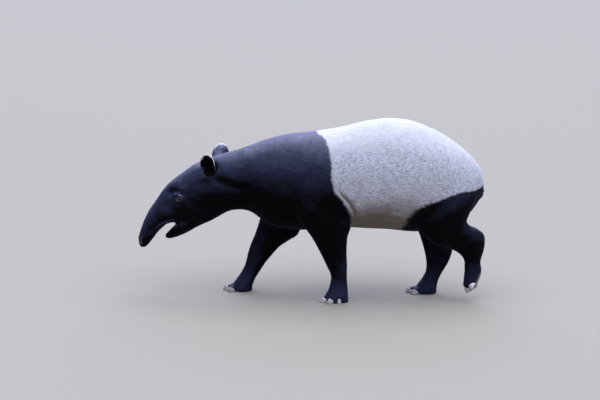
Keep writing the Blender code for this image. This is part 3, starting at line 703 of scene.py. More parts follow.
def ear_sheets(side):
    """The outer and the inner sheet of an ear as grids of points."""
    root, axis, across, facing = ear_axes(side)
    shares = np.linspace(EAR_SUNK, 1.0, EAR_ROWS + 1)
    width, curl = smooth_table(EAR_FORM, np.clip(shares, 0.0, 1.0))
    place = np.linspace(-1.0, 1.0, EAR_COLUMNS + 1)[None, :]
    curl = np.radians(curl)[:, None]
    flare = 1.0 + 0.45 * np.clip(1.0 - shares / 0.16, 0.0, 1.3)[:, None] ** 2
    radius = EAR_WIDTH / 2 * width[:, None] * flare / np.sin(np.minimum(curl, math.pi / 2))
    opened = ramp(EAR_CUP[0], EAR_CUP[1], shares)[:, None]
    round_edge = np.sqrt(np.maximum(1.0 - np.abs(place) ** 10, 0.0))
    wall = EAR_WALL * round_edge
    sideways = np.sin(curl * place)
    depth = np.cos(curl * place) - np.cos(curl)
    cup = np.maximum(radius - wall, 0.001)
    cup_sideways = place * np.sin(curl) + (sideways - place * np.sin(curl)) * opened
    lean = 0.008 * np.sin(np.clip(shares, 0.0, 1.0) * math.pi)[:, None]
    centre = root + axis * (EAR_LENGTH * shares)[:, None]
    outer = (centre[:, None] + across * (radius * sideways)[..., None]
             - facing * (radius * depth - lean)[..., None])
    inner = (centre[:, None] + across * (cup * cup_sideways)[..., None]
             - facing * (cup * depth * opened - lean)[..., None])
    return outer, inner


print("an ear's grid:", EAR_ROWS, "by", EAR_COLUMNS)

# %% [markdown]
# The two sheets become faces. A strip down each side and one at each end close the wall, so
# that the ear is one solid skin. Where sheets meet, their points are merged.

# %% Close the sheets into ears
def ear_mesh(side):
    outer, inner = ear_sheets(side)
    bm = bmesh.new()
    out_grid = [[bm.verts.new(point) for point in row] for row in outer]
    in_grid = [[bm.verts.new(point) for point in row] for row in inner]
    for row in range(EAR_ROWS):
        for column in range(EAR_COLUMNS):
            for grid in (out_grid, in_grid):
                bm.faces.new((grid[row][column], grid[row][column + 1],
                              grid[row + 1][column + 1], grid[row + 1][column]))
        for column in (0, EAR_COLUMNS):
            bm.faces.new((out_grid[row][column], out_grid[row + 1][column],
                          in_grid[row + 1][column], in_grid[row][column]))
    for column in range(EAR_COLUMNS):
        for row in (0, EAR_ROWS):
            bm.faces.new((out_grid[row][column], out_grid[row][column + 1],
                          in_grid[row][column + 1], in_grid[row][column]))
    bmesh.ops.remove_doubles(bm, verts=bm.verts, dist=0.00005)
    bmesh.ops.triangulate(bm, faces=[face for face in bm.faces if len(face.verts) > 4])
    bmesh.ops.recalc_face_normals(bm, faces=bm.faces)
    return mesh_from(bm, "ear_" + side)


ear_pieces = [ear_mesh(side) for side in EAR_PLACES]
print("ear points:", [len(mesh.vertices) for mesh in ear_pieces])

# %% [markdown]
# ## Where the coat is black and where it is pale
#
# The saddle of a Malayan tapir starts behind the shoulder and runs over the rump, and its edge
# is a line of mixed hairs, not a painted border. The two edges are given as lines seen from
# the side, and a point's distance to them says how pale it is, so skin and hair can ask the
# same question. A little noise makes the edge hairy, and at the flank it is softer still.

# %% The saddle's edges
SADDLE_FRONT = ((0.020, 1.100), (0.034, 0.975), (0.043, 0.956), (0.087, 0.926), (0.107, 0.869),
                (0.118, 0.790), (0.116, 0.722), (0.134, 0.652), (0.177, 0.601), (0.214, 0.534),
                (0.230, 0.483), (0.232, 0.440), (0.236, 0.300))
SADDLE_REAR = ((0.505, 0.300), (0.519, 0.410), (0.528, 0.440), (0.552, 0.505), (0.593, 0.548),
               (0.649, 0.580), (0.717, 0.600), (0.781, 0.624), (0.863, 0.645), (0.975, 0.656),
               (1.060, 0.658))
EDGE_SOFT = 0.009


def side_distance(points, line):
    """How far each point is from a line, both seen from the side."""
    line = np.array(line)
    flat = np.stack((points[:, 0], np.zeros(len(points)), points[:, 2]), axis=1)
    bent = np.stack((line[:, 0], np.zeros(len(line)), line[:, 1]), axis=1)
    return line_distance(flat, bent)[0]


def saddle_share(points, soft=EDGE_SOFT):
    """0 where the coat is black, 1 where it is pale, in between on the hairy edge."""
    waved = 0.008 * noise(points, 0.085, 13) * ramp(0.10, 0.20, np.abs(points[:, 0] - 0.15))
    points = points + waved[:, None] * UP
    x, z = points[:, 0], points[:, 2]
    front, rear = np.array(SADDLE_FRONT), np.array(SADDLE_REAR)
    behind_front = x > np.interp(z, front[::-1, 1], front[::-1, 0])
    above_rear = (z > np.interp(x, rear[:, 0], rear[:, 1])) | (x < rear[0, 0])
    inside = np.where(behind_front & above_rear, 1.0, -1.0)
    gap = np.minimum(side_distance(points, SADDLE_FRONT), side_distance(points, SADDLE_REAR))
    hairy = 0.0035 * noise(points, 0.012, 11) + 0.0030 * noise(points, 0.035, 12)
    flank = ramp(0.48, 0.53, x) * ramp(0.72, 0.60, x)
    soft = soft + 0.012 * flank
    hairy += 0.007 * flank * noise(points, 0.020, 14)
    return ramp(-soft, soft, inside * gap + hairy)


# %% [markdown]
# Now the ears are joined to the skin. At the bottom of a cup the head's skin sinks in a
# little, where the canal of the ear opens. It is a soft dent, measured in the ear's own
# directions, so that the same numbers serve both sides.

# %% Join the ears to the skin
CANAL_DEEP = 0.010
CANAL_PLACE, CANAL_REACH = (0.0, 0.032, -0.030), (0.046, 0.052, 0.047)


def ear_places(points, side):
    """How far each point lies across an ear, along it and towards its opening."""
    root, axis, across, facing = ear_axes(side)
    off = points - root
    return off @ across, off @ axis, off @ facing


def ear_canal(points):
    """1 on the head's skin inside an ear's cup, where the canal opens."""
    deep = np.zeros(len(points))
    for side in EAR_PLACES:
        off = (np.stack(ear_places(points, side), axis=1) - CANAL_PLACE) / CANAL_REACH
        deep = np.maximum(deep, np.exp(-(off * off).sum(axis=1) ** 2))
    return deep


skin_mesh = mesh_from(editable(skin.data, *ear_pieces), "skin")
on_ear = np.arange(len(skin_mesh.vertices)) >= len(skin.data.vertices)
skin.data = skin_mesh
skin_mesh.shade_smooth()
skin_points, skin_normals = points_of(skin_mesh), normals_of(skin_mesh)
skin_edges = edges_of(skin_mesh)
canal = np.where(on_ear, 0.0, ear_canal(skin_points))
place_points(skin_mesh, skin_points - skin_normals * (CANAL_DEEP * canal)[:, None])
print("skin and ears:", len(skin_points), "points, of them on ears:", int(on_ear.sum()))

# %% [markdown]
# ## Numbers for the finishes
#
# Each point gets numbers that the finishes read later. The first are about the ears: their
# upper edges are white, and their cups are bare, with painted shade in them. Painting a picture
# by hand would do this too, but numbers on the points need no unwrapping and can be asked for
# at any place.

# %% Mark the ears' edges and cups
def add_numbers(mesh, title, values):
    layer = mesh.attributes.new(title, "FLOAT", "POINT")
    layer.data.foreach_set("value", np.asarray(values, np.float32))


def near_ear(points, side, reach=0.17):
    return np.linalg.norm(points - np.array(EAR_PLACES[side][0]), axis=1) < reach


def ear_rim(points):
    """1 on the upper edge of either ear, fading over a few millimetres."""
    white = np.zeros(len(points))
    for side in EAR_PLACES:
        across, along, toward = ear_places(points, side)
        share = along / EAR_LENGTH
        reach = EAR_WIDTH / 2 * smooth_table(EAR_FORM, np.clip(share, 0.0, 1.0))[0]
        edge = ramp(0.76, 0.90, np.abs(across) / reach) + ramp(0.905, 0.945, share)
        upper = ramp(0.58, 0.78, share + 0.10 * noise(points, 0.02, 21))
        upper = upper * ramp(-0.018, -0.008, toward)
        here = near_ear(points, side, 0.16) & (share > 0.5)
        white = np.maximum(white, np.where(here, np.minimum(edge, 1.0) * upper, 0.0))
    return white


skin_points, skin_normals = points_of(skin_mesh), normals_of(skin_mesh)
ear_edge = np.where(on_ear, ear_rim(skin_points), 0.0)
inside_cup = ramp(0.25, 0.55, canal)
for side, (root, tip, facing) in EAR_PLACES.items():
    here = on_ear & near_ear(skin_points, side)
    inside_cup[here] = ramp(-0.1, 0.3, skin_normals[here] @ unit(np.array(facing)))
print("points in the ears' cups:", int((inside_cup > 0.5).sum()))

# %% [markdown]
# Short dark hair gets a painted sheen from the open sky, most where the coat faces up, and pale
# hair a painted highlight there and painted shade below. Each point gets a number for that: the
# upward part of its direction, made a little uneven. It is raised on the face, the upper lip,
# the ears and the feet, for more painted sheen there, and lowered for painted shade on the jaw,
# the arm, the legs and wherever it is sheltered. Inside the cups there is none.

# %% How far each place faces the sky
# A place on either side of the head, how far it reaches, and how much painted light is added there,
# with painted shade where it is negative
FACE_PAINTED_LIGHT = (((0.085, 0.055, 0.500), (0.045, 0.040, 0.035), 0.28),
              ((0.060, 0.045, 0.390), (0.070, 0.060, 0.038), -0.45))
# Painted shade over the upper arms and chest
ARM_SHADE = (0.080, 0.240, 0.480), (0.140, 0.080, 0.090)

sheltered = np.append(sheltered, np.zeros(on_ear.sum()))
sided = either_side(skin_points)
height = skin_points[:, 2]
uneven = 0.08 * noise(skin_points, 0.07, 22) + 0.05 * noise(skin_points, 0.02, 23)
upward = skin_normals[:, 2] + uneven + 0.10 * ramp(-0.14, 0.02, sided[:, 0]) - 0.7 * sheltered
upward += sum(more * hump(sided, centre, reach) for centre, reach, more in FACE_PAINTED_LIGHT)
upward -= 0.16 * hump(np.abs(skin_points), *ARM_SHADE)
# Less painted sheen on the legs, more on the feet and the ears, and none inside the cups
on_leg = ramp(0.60, 0.42, height) * ramp(-0.56, -0.46, skin_points[:, 0])
upward -= 0.40 * on_leg * ramp(0.0, 0.5, upward)
upward += 0.22 * ramp(0.19, 0.04, height) + 0.22 * on_ear
upward -= (upward + 1.0) * inside_cup
print("share of the coat in the bloom:", round(float((upward > 0.4).mean()), 2))

# %% [markdown]
# The last numbers mark the saddle, the pale sole that the lifted foot shows, the wet edges of
# the lids with a paler ring of skin round them, and the nostrils, pink at the rim and with
# painted shade inside.

# %% Mark the saddle, the lifted sole, the lids and the nostrils
LIFTED_SOLE = [(0.966, -0.119, 0.158), (0.952, -0.130, 0.121), (0.943, -0.138, 0.092),
               (0.926, -0.136, 0.070)]
SOLE_WIDE, SOLE_PALE = 0.010, 0.50

pale_skin = np.where(on_ear, 0.0, saddle_share(skin_points))
lifted_sole = np.exp(-(line_distance(skin_points, LIFTED_SOLE)[0] / SOLE_WIDE) ** 2)
rim_skin = np.maximum(ear_edge, SOLE_PALE * lifted_sole)
# Painted shade in the ears' cups and, below, inside the nostrils
inner = inside_cup * (1.0 - rim_skin)
wet, lid, pink = np.zeros((3, len(skin_points)))
for side in SIDES:
    u, v, w = in_eye_axes(skin_points, side)
    edge, outside = almond(u, v), w > -0.01
    wet = np.maximum(wet, outside * np.exp(-((edge - 0.95) / 0.14) ** 2))
    lid = np.maximum(lid, outside * np.exp(-((edge - 1.28) / 0.20) ** 2))
    share, out = nostril_share(skin_points, skin_normals, side)
    pink = np.maximum(pink, np.exp(-((share - 1.35) / 0.38) ** 2))
    inner = np.maximum(inner, ramp(1.05, 0.75, share))
for title, values in (("pale", pale_skin), ("rim", rim_skin), ("wet", wet), ("pink", pink),
                      ("inner", inner), ("lid", lid), ("upward", upward),
                      ("sheltered", sheltered)):
    add_numbers(skin_mesh, title, values)
print("pale share of the skin:", round(float(pale_skin.mean()), 2))

# %% [markdown]
# ## Hooves
#
# Each toe ends in its own small hoof of grey horn. Its wall grows down from a pale band at
# the top, in fine rings, and chips and scuffs at the ground. The CAD hooves have the right
# size and place but are faceted, so a finer copy of each is smoothed and ringed. All the
# hooves of one foot make one piece.

# %% Shape the hooves
HOOF_CELL = 0.0015
RING_PITCH = 0.0034
RING_DEPTH = 0.00022
FEET = ("forefoot_left", "forefoot_right", "hindfoot_left", "hindfoot_right")


def hoof_piece(foot):
    names = [name for name in HOOVES if name.startswith(foot)]
    piece = remeshed(names, "hooves_" + foot, HOOF_CELL)
    mesh = piece.data
    points, edges = points_of(mesh), edges_of(mesh)
    floor = float(points[:, 2].min())
    points = evened(relaxed(points, edges, np.ones(len(points)), 3), edges, 10, 1.0)
    points[:, 2] = np.maximum(points[:, 2], floor)
    place_points(mesh, points)
    from_skin = distances(points, skin_tree, 0.05)
    ringed = np.sin(from_skin / RING_PITCH * 2 * math.pi + 2.0 * noise(points, 0.012, 31))
    worn = ramp(0.004, 0.012, points[:, 2] - floor)
    moved = RING_DEPTH * ringed * worn + 0.0003 * noise(points, 0.006, 32)
    points = points + normals_of(mesh) * (moved - 0.0002)[:, None]
    points[:, 2] = np.maximum(points[:, 2], floor)
    place_points(mesh, points)
    add_numbers(mesh, "from_band", from_skin)
    add_numbers(mesh, "above_ground", points[:, 2] - floor)
    mesh.shade_smooth()
    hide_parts(*names)
    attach(piece, "root")
    return piece


skin_tree = tree_of(skin_mesh)
hooves = [hoof_piece(foot) for foot in FEET]
print("hoof points:", {piece.name: len(piece.data.vertices) for piece in hooves})

# %% [markdown]
# ## Eyes
#
# The eyeball is not a plain ball: the clear window in front of the iris bulges a little, and
# that bulge catches the light. Each point keeps its angle from the middle of the window, from
# which the finish makes the pupil, the brown iris and the darker white round it.

# %% Make the eyeballs
EYE_RINGS = 40
EYE_SECTORS = 48
WINDOW_BULGE = 0.0013
WINDOW_ANGLE = math.radians(27)


def eyeball(side, node):
    middle, slit, up, out = eye_axes(side)
    rows = []
    for ring in range(EYE_RINGS + 1):
        angle = math.pi * ring / EYE_RINGS
        radius = BALL_RADIUS + WINDOW_BULGE * math.exp(-(angle / WINDOW_ANGLE) ** 2) - 0.0004
        turn = np.linspace(0.0, 2 * math.pi, EYE_SECTORS, endpoint=False)[:, None]
        ring_out = out * math.cos(angle)
        ring_side = (slit * np.cos(turn) + up * np.sin(turn)) * math.sin(angle)
        rows.append(middle + radius * (ring_out + ring_side))
    bm = bmesh.new()
    grid = [[bm.verts.new(point) for point in row] for row in rows]
    for ring in range(EYE_RINGS):
        for sector in range(EYE_SECTORS):
            following = (sector + 1) % EYE_SECTORS
            bm.faces.new((grid[ring][sector], grid[ring + 1][sector],
                          grid[ring + 1][following], grid[ring][following]))
    bmesh.ops.remove_doubles(bm, verts=bm.verts, dist=0.00002)
    bmesh.ops.recalc_face_normals(bm, faces=bm.faces)
    mesh = mesh_from(bm, node)
    mesh.shade_smooth()
    piece = added(node.replace("eye", "eyeball"), mesh)
    from_axis = np.degrees(np.arccos(np.clip(unit(points_of(mesh) - middle) @ out, -1, 1)))
    add_numbers(mesh, "from_axis", from_axis)
    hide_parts(node)
    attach(piece, "root")
    return piece


eyeballs = [eyeball(-1, "eye_left"), eyeball(1, "eye_right")]
print("eyeballs:", [piece.name for piece in eyeballs])

# %% [markdown]
# ## Which way the hair lies
#
# Hair on a tapir runs from the nose over the face to the neck, back along the body and down
# the legs to the toes. Each region gets a direction, the regions are blended by place, and
# the result is laid flat onto the skin and smoothed, so that there are no sudden partings.

# %% Lay out the direction of the hair
BACK = np.array((1.0, 0.0, 0.0))
FACE_BACK = unit(UP * 0.77 - HEAD_FORWARD * 0.63)
JAW_BACK = unit(UP * 0.30 - HEAD_FORWARD * 0.95)
FLOW_ROUNDS = 14


def laid_flat(ways, normals):
    """Directions without their part that leaves the skin."""
    return unit(ways - normals * (ways * normals).sum(axis=1)[:, None])


def hair_ways(points, normals, edges):
    x, y, z = points.T
    places = head_places(points)
    under = ramp(0.03, -0.05, z - (0.52 - 0.75 * places[:, 0]))
    face = FACE_BACK + (JAW_BACK - FACE_BACK) * under[:, None]
    head = ramp(-0.43, -0.60, x)[:, None]
    between = ramp(0.24, 0.31, x) * ramp(0.55, 0.48, x) * ramp(0.34, 0.38, z)
    leg = (ramp(0.62, 0.40, z) * (1 - between) * ramp(-0.60, -0.46, x))[:, None]
    rump = (ramp(0.78, 0.99, x) * ramp(0.95, 0.80, z))[:, None]
    ways = BACK * (1 - head) - UP * (0.22 * ramp(0.05, 0.20, np.abs(y)))[:, None] * (1 - head)
    ways = ways + face * head - UP * (3.0 * leg) - UP * (1.4 * rump)
    ways = ways - BACK * (0.8 * ramp(0.10, 0.04, z))[:, None]
    for _round in range(FLOW_ROUNDS):
        ways = laid_flat(ways, normals)
        ways = neighbour_mean(ways, edges) + ways * 0.3
    return laid_flat(ways, normals)


skin_ways = hair_ways(skin_points, skin_normals, skin_edges)
for side in EAR_PLACES:
    here = on_ear & near_ear(skin_points, side)
    skin_ways[here] = laid_flat(ear_axes(side)[1] * np.ones((here.sum(), 1)), skin_normals[here])
print("hair lies along", len(skin_ways), "directions")

# %% [markdown]
# ## The coat
#
# The export keeps only solid meshes, so the coat is made of tufts: slim pointed wedges of four
# triangles, whose roots sink into the skin and whose tips lean back a little way above it.
# There are a few hundred thousand, so they are worked out as arrays, all at once. Their length
# follows the place: longest on the body, shorter on the legs and the face, very short on the
# snout, the ears and the feet, and cut back along the saddle's edge, which would look fringed.

# %% How long the tufts are, and where there are none
BODY_HAIR = 0.0150
EAR_HAIR = 0.0055


def tuft_length(points):
    x, z = points[:, 0], points[:, 2]
    length = np.full(len(points), BODY_HAIR)
    length -= 0.0060 * ramp(-0.45, -0.62, x)
    length -= 0.0035 * ramp(0.06, 0.20, head_places(points)[:, 0])
    length -= 0.0040 * ramp(0.50, 0.30, z) * ramp(-0.50, -0.44, x)
    length -= 0.0045 * ramp(0.12, 0.06, z)
    near_edge = saddle_share(points, 0.022)
    return length * (1.0 - 1.6 * near_edge * (1.0 - near_edge))


def bare_share(points, normals):
    """1 where there is skin and no hair: eye openings, nostrils and soles."""
    bare = ramp(0.006, 0.003, points[:, 2])
    for side in SIDES:
        u, v, w = in_eye_axes(points, side)
        opening = np.where(w > -0.012, ramp(1.45, 1.15, almond(u, v)), 0.0)
        nostril = ramp(1.7, 1.3, nostril_share(points, normals, side)[0])
        bare = np.maximum.reduce([bare, opening, nostril])
    return bare


skin_length = tuft_length(skin_points)
skin_length[on_ear] = EAR_HAIR
skin_bare = np.maximum(bare_share(skin_points, skin_normals), inside_cup)
print("tufts are", round(float(skin_length.min()), 4), "to", round(float(skin_length.max()), 4))

# %% [markdown]
# The roots are drawn at random over the faces, with a fixed seed. A face gets more roots the
# larger it is and the shorter its hair, so the cover is even. Each root keeps the skin's
# direction, markings and lie of the hair at its own place.

# %% Draw the roots
TUFTS = 285000
COAT_SEED = 20

rng = np.random.default_rng(COAT_SEED)
skin_mesh.calc_loop_triangles()
faces = rows_of(skin_mesh.loop_triangles, "vertices", 3, np.int32)
first, second, third = skin_points[faces].transpose(1, 0, 2)
areas = np.linalg.norm(np.cross(second - first, third - first), axis=1)
haired = 1.0 - skin_bare[faces].max(axis=1)
weights = areas / skin_length[faces].mean(axis=1) ** 1.6 * haired
chosen = rng.choice(len(faces), TUFTS, p=weights / weights.sum())
shares = rng.dirichlet((1.0, 1.0, 1.0), TUFTS)


def at_roots(values):
    """A number or direction of the skin's points, read at each root."""
    held = values[faces[chosen]]
    if held.ndim == 2:
        return (held * shares).sum(axis=1)
    return (held * shares[:, :, None]).sum(axis=1)


roots = at_roots(skin_points)
root_normals = unit(at_roots(skin_normals))
root_ways = unit(at_roots(skin_ways))
root_ear = on_ear[faces[chosen]].all(axis=1)
root_pale = np.where(root_ear, 0.0, saddle_share(roots + 0.004 * root_ways))
root_rim = at_roots(rim_skin)
root_upward = at_roots(upward)
root_sheltered = at_roots(sheltered)
print("roots drawn:", TUFTS)

# %% [markdown]
# Hair grows in soft clumps, so neighbours lean the same way. A smooth noise turns each tuft a
# few degrees, and a little more at random. The wedge has a root of three points and one tip.
# Its shading directions are mostly those of the skin beneath, so a flat coat looks smooth and
# silky, and only the tips break the form.

# %% Shape the tufts
SINK = 0.0006
CLUMP_TURN = 0.07
LOOSE_TURN = 0.09
LIFT = math.radians(5.5)
LOOSE_LIFT = math.radians(1.8)
WIDTH_SHARE = 0.125         # a root's width as a share of its tuft's length
HAIR_SHADING = 0.14

across = np.cross(root_normals, root_ways)
turn = CLUMP_TURN * noise(roots, 0.030, 41) + LOOSE_TURN * rng.standard_normal(TUFTS)
ways = unit(root_ways + across * turn[:, None])
across = np.cross(root_normals, ways)
lift = LIFT + LOOSE_LIFT * rng.standard_normal(TUFTS) + math.radians(0.8) * noise(roots, 0.022, 42)
lift = np.clip(lift, math.radians(1.5), math.radians(16.0))
length = at_roots(skin_length) * rng.uniform(0.72, 1.18, TUFTS)
width = length * WIDTH_SHARE * rng.uniform(0.8, 1.25, TUFTS)
reach = ways * np.cos(lift)[:, None] + root_normals * np.sin(lift)[:, None]
base = roots - root_normals * SINK
tuft_points = np.stack((
    base - across * (width / 2)[:, None],
    base + across * (width / 2)[:, None],
    base + root_normals * (SINK + width * 0.45)[:, None] + ways * (length * 0.30)[:, None],
    roots + reach * length[:, None],
), axis=1)
tuft_points[..., 2] = np.maximum(tuft_points[..., 2], 0.0008)
WEDGE = np.array(((0, 3, 2), (2, 3, 1), (0, 2, 1), (1, 3, 0)))
leaning = np.stack((-across, across, root_normals, root_normals + 0.6 * ways), axis=1)
tuft_normals = unit(root_normals[:, None] * (1 - HAIR_SHADING) + leaning * HAIR_SHADING)
shade = noise(roots, 0.010, 51) * 0.5 + rng.uniform(-1.0, 1.0, TUFTS) * 0.5
print("tuft height at the tip, mm:", round(float((length * np.sin(lift)).mean() * 1000), 2))

# %% [markdown]
# Each coat piece gets a map named OFBake, for baking its colours. Each tuft takes up a tiny
# patch of it at its root's own place on an unwrap of the animal: the barrel and head are
# unrolled round their long axis, and each leg round its own.

# %% Unroll the body into a flat map
PATCH = 0.003
LEG_MIDDLES = ((0.14, -0.13), (-0.32, 0.15), (0.88, -0.13), (0.70, 0.12))


def turn_round(sideways, upwards):
    """Share of a full turn, from 0 to 1."""
    return np.arctan2(sideways, upwards) / (2 * math.pi) + 0.5


def unrolled(points):
    """Places on the flat map, from 0 to 1 both ways."""
    x, y, z = points.T
    round_body = turn_round(y - middle_line(x), z - (0.62 + 0.06 * ramp(-0.6, 0.4, x)))
    flat = np.stack(((x + 1.02) / 2.08, 0.36 + 0.62 * round_body), axis=1)
    nearest = np.argmin([np.hypot(x - lx, (y - ly) * 2.0) for lx, ly in LEG_MIDDLES], axis=0)
    leg_x, leg_y = np.array(LEG_MIDDLES)[nearest].T
    round_leg = turn_round(y - leg_y, x - leg_x)
    leg = np.stack((0.01 + 0.98 * z / 0.42, 0.01 + 0.085 * (nearest + 0.9 * round_leg)), axis=1)
    on_leg = (z < 0.40) & (x > -0.56)
    return np.clip(np.where(on_leg[:, None], leg, flat), 0.002, 0.996)


root_map = unrolled(roots)
PATCH_CORNERS = np.array(((0.0, 0.0), (1.0, 0.0), (0.5, 0.5), (0.5, 1.0))) * PATCH
tuft_map = root_map[:, None] + PATCH_CORNERS - PATCH / 2
print("map from", np.round(root_map.min(axis=0), 3), "to", np.round(root_map.max(axis=0), 3))

# %% [markdown]
# The tufts are parted into pieces of under 200,000 triangles, black coat and pale coat, and
# the ears' white edges go with the black. The two colours follow the same question about the
# saddle that the skin asked, with a random threshold, so the hairs mix along the border.

# %% Make the coat pieces
PIECE_TUFTS = 48000
BORDER_MIX = 0.36


def coat_piece(title, picked):
    count = len(picked)
    mesh = bpy.data.meshes.new(title)
    mesh.vertices.add(count * 4)
    mesh.vertices.foreach_set("co", tuft_points[picked].astype(np.float32).ravel())
    corners = (WEDGE[None] + np.arange(count)[:, None, None] * 4).reshape(-1).astype(np.int32)
    mesh.loops.add(len(corners))
    mesh.loops.foreach_set("vertex_index", corners)
    mesh.polygons.add(count * 4)
    mesh.polygons.foreach_set("loop_start", np.arange(0, count * 12, 3, dtype=np.int32))
    mesh.update(calc_edges=True)
    places = tuft_map[picked].reshape(-1, 2)[corners].astype(np.float32)
    mesh.uv_layers.new(name="OFBake").data.foreach_set("uv", places.ravel())
    for label, values in (("shade", shade), ("rim", root_rim), ("upward", root_upward),
                          ("sheltered", root_sheltered)):
        add_numbers(mesh, label, np.repeat(values[picked], 4))
    mesh.shade_smooth()
    mesh.normals_split_custom_set_from_vertices(tuft_normals[picked].reshape(-1, 3).tolist())
    piece = added(title, mesh)
    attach(piece, "root")
    return piece


is_pale = root_pale + BORDER_MIX * rng.uniform(-1.0, 1.0, TUFTS) > 0.5
order = np.argsort(roots[:, 0], kind="stable")
coat = {"black": [], "pale": []}
for kind, picked in (("black", order[~is_pale[order]]), ("pale", order[is_pale[order]])):
    parts = max(1, math.ceil(len(picked) / PIECE_TUFTS))
    for number, part in enumerate(np.array_split(picked, parts)):
        title = "coat_" + kind + "_" + str(number + 1)
        coat[kind].append(coat_piece(title, part))
print("coat pieces:", {kind: len(pieces) for kind, pieces in coat.items()})

# %% [markdown]
# ## Finishes
#
# A finish is a tree of nodes. A few small helpers keep the recipes short. They add nodes and
# fill their inputs with numbers, colours or links, and they start shader groups with named
# inputs and outputs. Every effect that more than one finish uses is such a group.

# %% Short words for nodes
FLOAT, COLOUR = "NodeSocketFloat", "NodeSocketColor"


def feed(tree, node, inputs):
    """Fill inputs by name or number, with values or with sockets to link from."""
    for title, value in inputs.items():
        if isinstance(value, bpy.types.NodeSocket):
            tree.links.new(value, node.inputs[title])
        else:
            node.inputs[title].default_value = value


def add_node(tree, kind, inputs=None, **settings):
    node = tree.nodes.new(kind)
    for name, value in settings.items():
        setattr(node, name, value)
    feed(tree, node, inputs or {})
    return node


def fitted(tree, value, low, high, most=1.0):
    """A value spread from low..high onto 0..most."""
    ends = {"From Min": low, "From Max": high, "To Max": most}
    return add_node(tree, "ShaderNodeMapRange", {"Value": value, **ends}).outputs["Result"]


def colour_mix(tree, mask, low, high):
    """Low where the mask is 0 and high where it is 1. Each is a colour or a socket."""
    low, high = ((*part, 1.0) if isinstance(part, tuple) else part for part in (low, high))
    inputs = {0: mask, 6: low, 7: high}
    return add_node(tree, "ShaderNodeMix", inputs, data_type="RGBA").outputs[2]


def layered(tree, base, colour, mask, low, high, most=1.0):
    """The base with a colour over it, more and more as the mask goes from low to high."""
    return colour_mix(tree, fitted(tree, mask, low, high, most), base, colour)


def new_group(title, inputs, outputs):
    """A shader group with its inputs' first values, its outputs' kinds, and what it is given."""
    group = bpy.data.node_groups.new(title, "ShaderNodeTree")
    for name, value in inputs.items():
        kind = COLOUR if isinstance(value, tuple) else FLOAT
        socket = group.interface.new_socket(name, in_out="INPUT", socket_type=kind)
        socket.default_value = value
    for name, kind in outputs.items():
        group.interface.new_socket(name, in_out="OUTPUT", socket_type=kind)
    return group, add_node(group, "NodeGroupInput").outputs


print("kinds of socket:", FLOAT, COLOUR)

# %% [markdown]
# Fine fur that lies flat reads as grain: thin light and dark streaks along the hair, which
# turn to run down on the legs. The same grain shows on the skin under the coat, on the tufts
# and, finer, on horn. The group puts out a streak mask, a blotch mask for larger patches and a
# height for the bump.

# %% The shared grain
LENGTHWAYS, DOWNWARDS = (0.16, 1.0, 1.0), (1.0, 1.0, 0.16)


def grain_group():
    group, given = new_group("hair_grain", {"Streaks": 260.0, "Blotches": 9.0},
                             {"Streak": FLOAT, "Blotch": FLOAT, "Height": FLOAT})
    place = add_node(group, "ShaderNodeTexCoord").outputs["Object"]
    streaks = []
    for stretch in (LENGTHWAYS, DOWNWARDS):
        drawn_out = add_node(group, "ShaderNodeMapping", {"Vector": place, "Scale": stretch})
        inputs = {"Vector": drawn_out.outputs[0], "Scale": given["Streaks"], "Detail": 2.0}
        streaks.append(add_node(group, "ShaderNodeTexNoise", inputs).outputs["Fac"])
    height = add_node(group, "ShaderNodeSeparateXYZ", {"Vector": place}).outputs["Z"]
    above_legs = fitted(group, height, 0.40, 0.55)
    inputs = {"Factor": above_legs, "A": streaks[1], "B": streaks[0]}
    sharp = fitted(group, add_node(group, "ShaderNodeMix", inputs).outputs["Result"], 0.36, 0.64)
    inputs = {"Vector": place, "Scale": given["Blotches"], "Detail": 3.0}
    blotch = add_node(group, "ShaderNodeTexNoise", inputs).outputs["Fac"]
    add_node(group, "NodeGroupOutput", {"Streak": sharp, "Blotch": blotch, "Height": sharp})
    return group


GRAIN = grain_group()
print("grain group with", len(GRAIN.nodes), "nodes")

# %% [markdown]
# Black hair gets a painted sheen of cool sky light: slate where it faces a little upwards and
# lilac on top of the back, while below it stays nearly black. Pale hair gets a painted
# highlight along the back, and brown painted shade under the belly, partly dust, and down in
# the folds. Skin and tufts share both effects, so each is a group.

# %% Painted sheen, highlight and shade
# Painted sheen colours for black hair; painted highlight and painted shade colours for pale hair
SHEEN_SLATE = (0.022, 0.025, 0.055), (0.036, 0.041, 0.088)
SHEEN_LILAC = (0.145, 0.145, 0.245), (0.200, 0.200, 0.330)
HIGHLIGHT_WHITE = (0.73, 0.73, 0.75)
BELLY_SHADE_AND_DUST = (0.17, 0.14, 0.105)
FOLD_SHADE = (0.22, 0.19, 0.18)
ANY_COLOUR = (0.5, 0.5, 0.5, 1.0)


def sheen_paint_group():
    inputs = {"Base": ANY_COLOUR, "Tone": 0.5, "Upward": 0.0}
    group, given = new_group("painted_sky_sheen", inputs, {"Colour": COLOUR})
    slate, lilac = (colour_mix(group, given["Tone"], *pair) for pair in (SHEEN_SLATE, SHEEN_LILAC))
    base = layered(group, given["Base"], slate, given["Upward"], -0.12, 0.42)
    base = layered(group, base, lilac, given["Upward"], 0.50, 1.0)
    add_node(group, "NodeGroupOutput", {"Colour": base})
    return group


def light_and_shade_group():
    inputs = {"Base": ANY_COLOUR, "Upward": 0.0, "Sheltered": 0.0}
    group, given = new_group("painted_light_and_shade", inputs, {"Colour": COLOUR})
    base = layered(group, given["Base"], HIGHLIGHT_WHITE, given["Upward"], 0.45, 1.0)
    base = layered(group, base, BELLY_SHADE_AND_DUST, given["Upward"], -0.15, -0.65, 0.95)
    base = layered(group, base, FOLD_SHADE, given["Sheltered"], 0.0, 1.0, 0.75)
    add_node(group, "NodeGroupOutput", {"Colour": base})
    return group


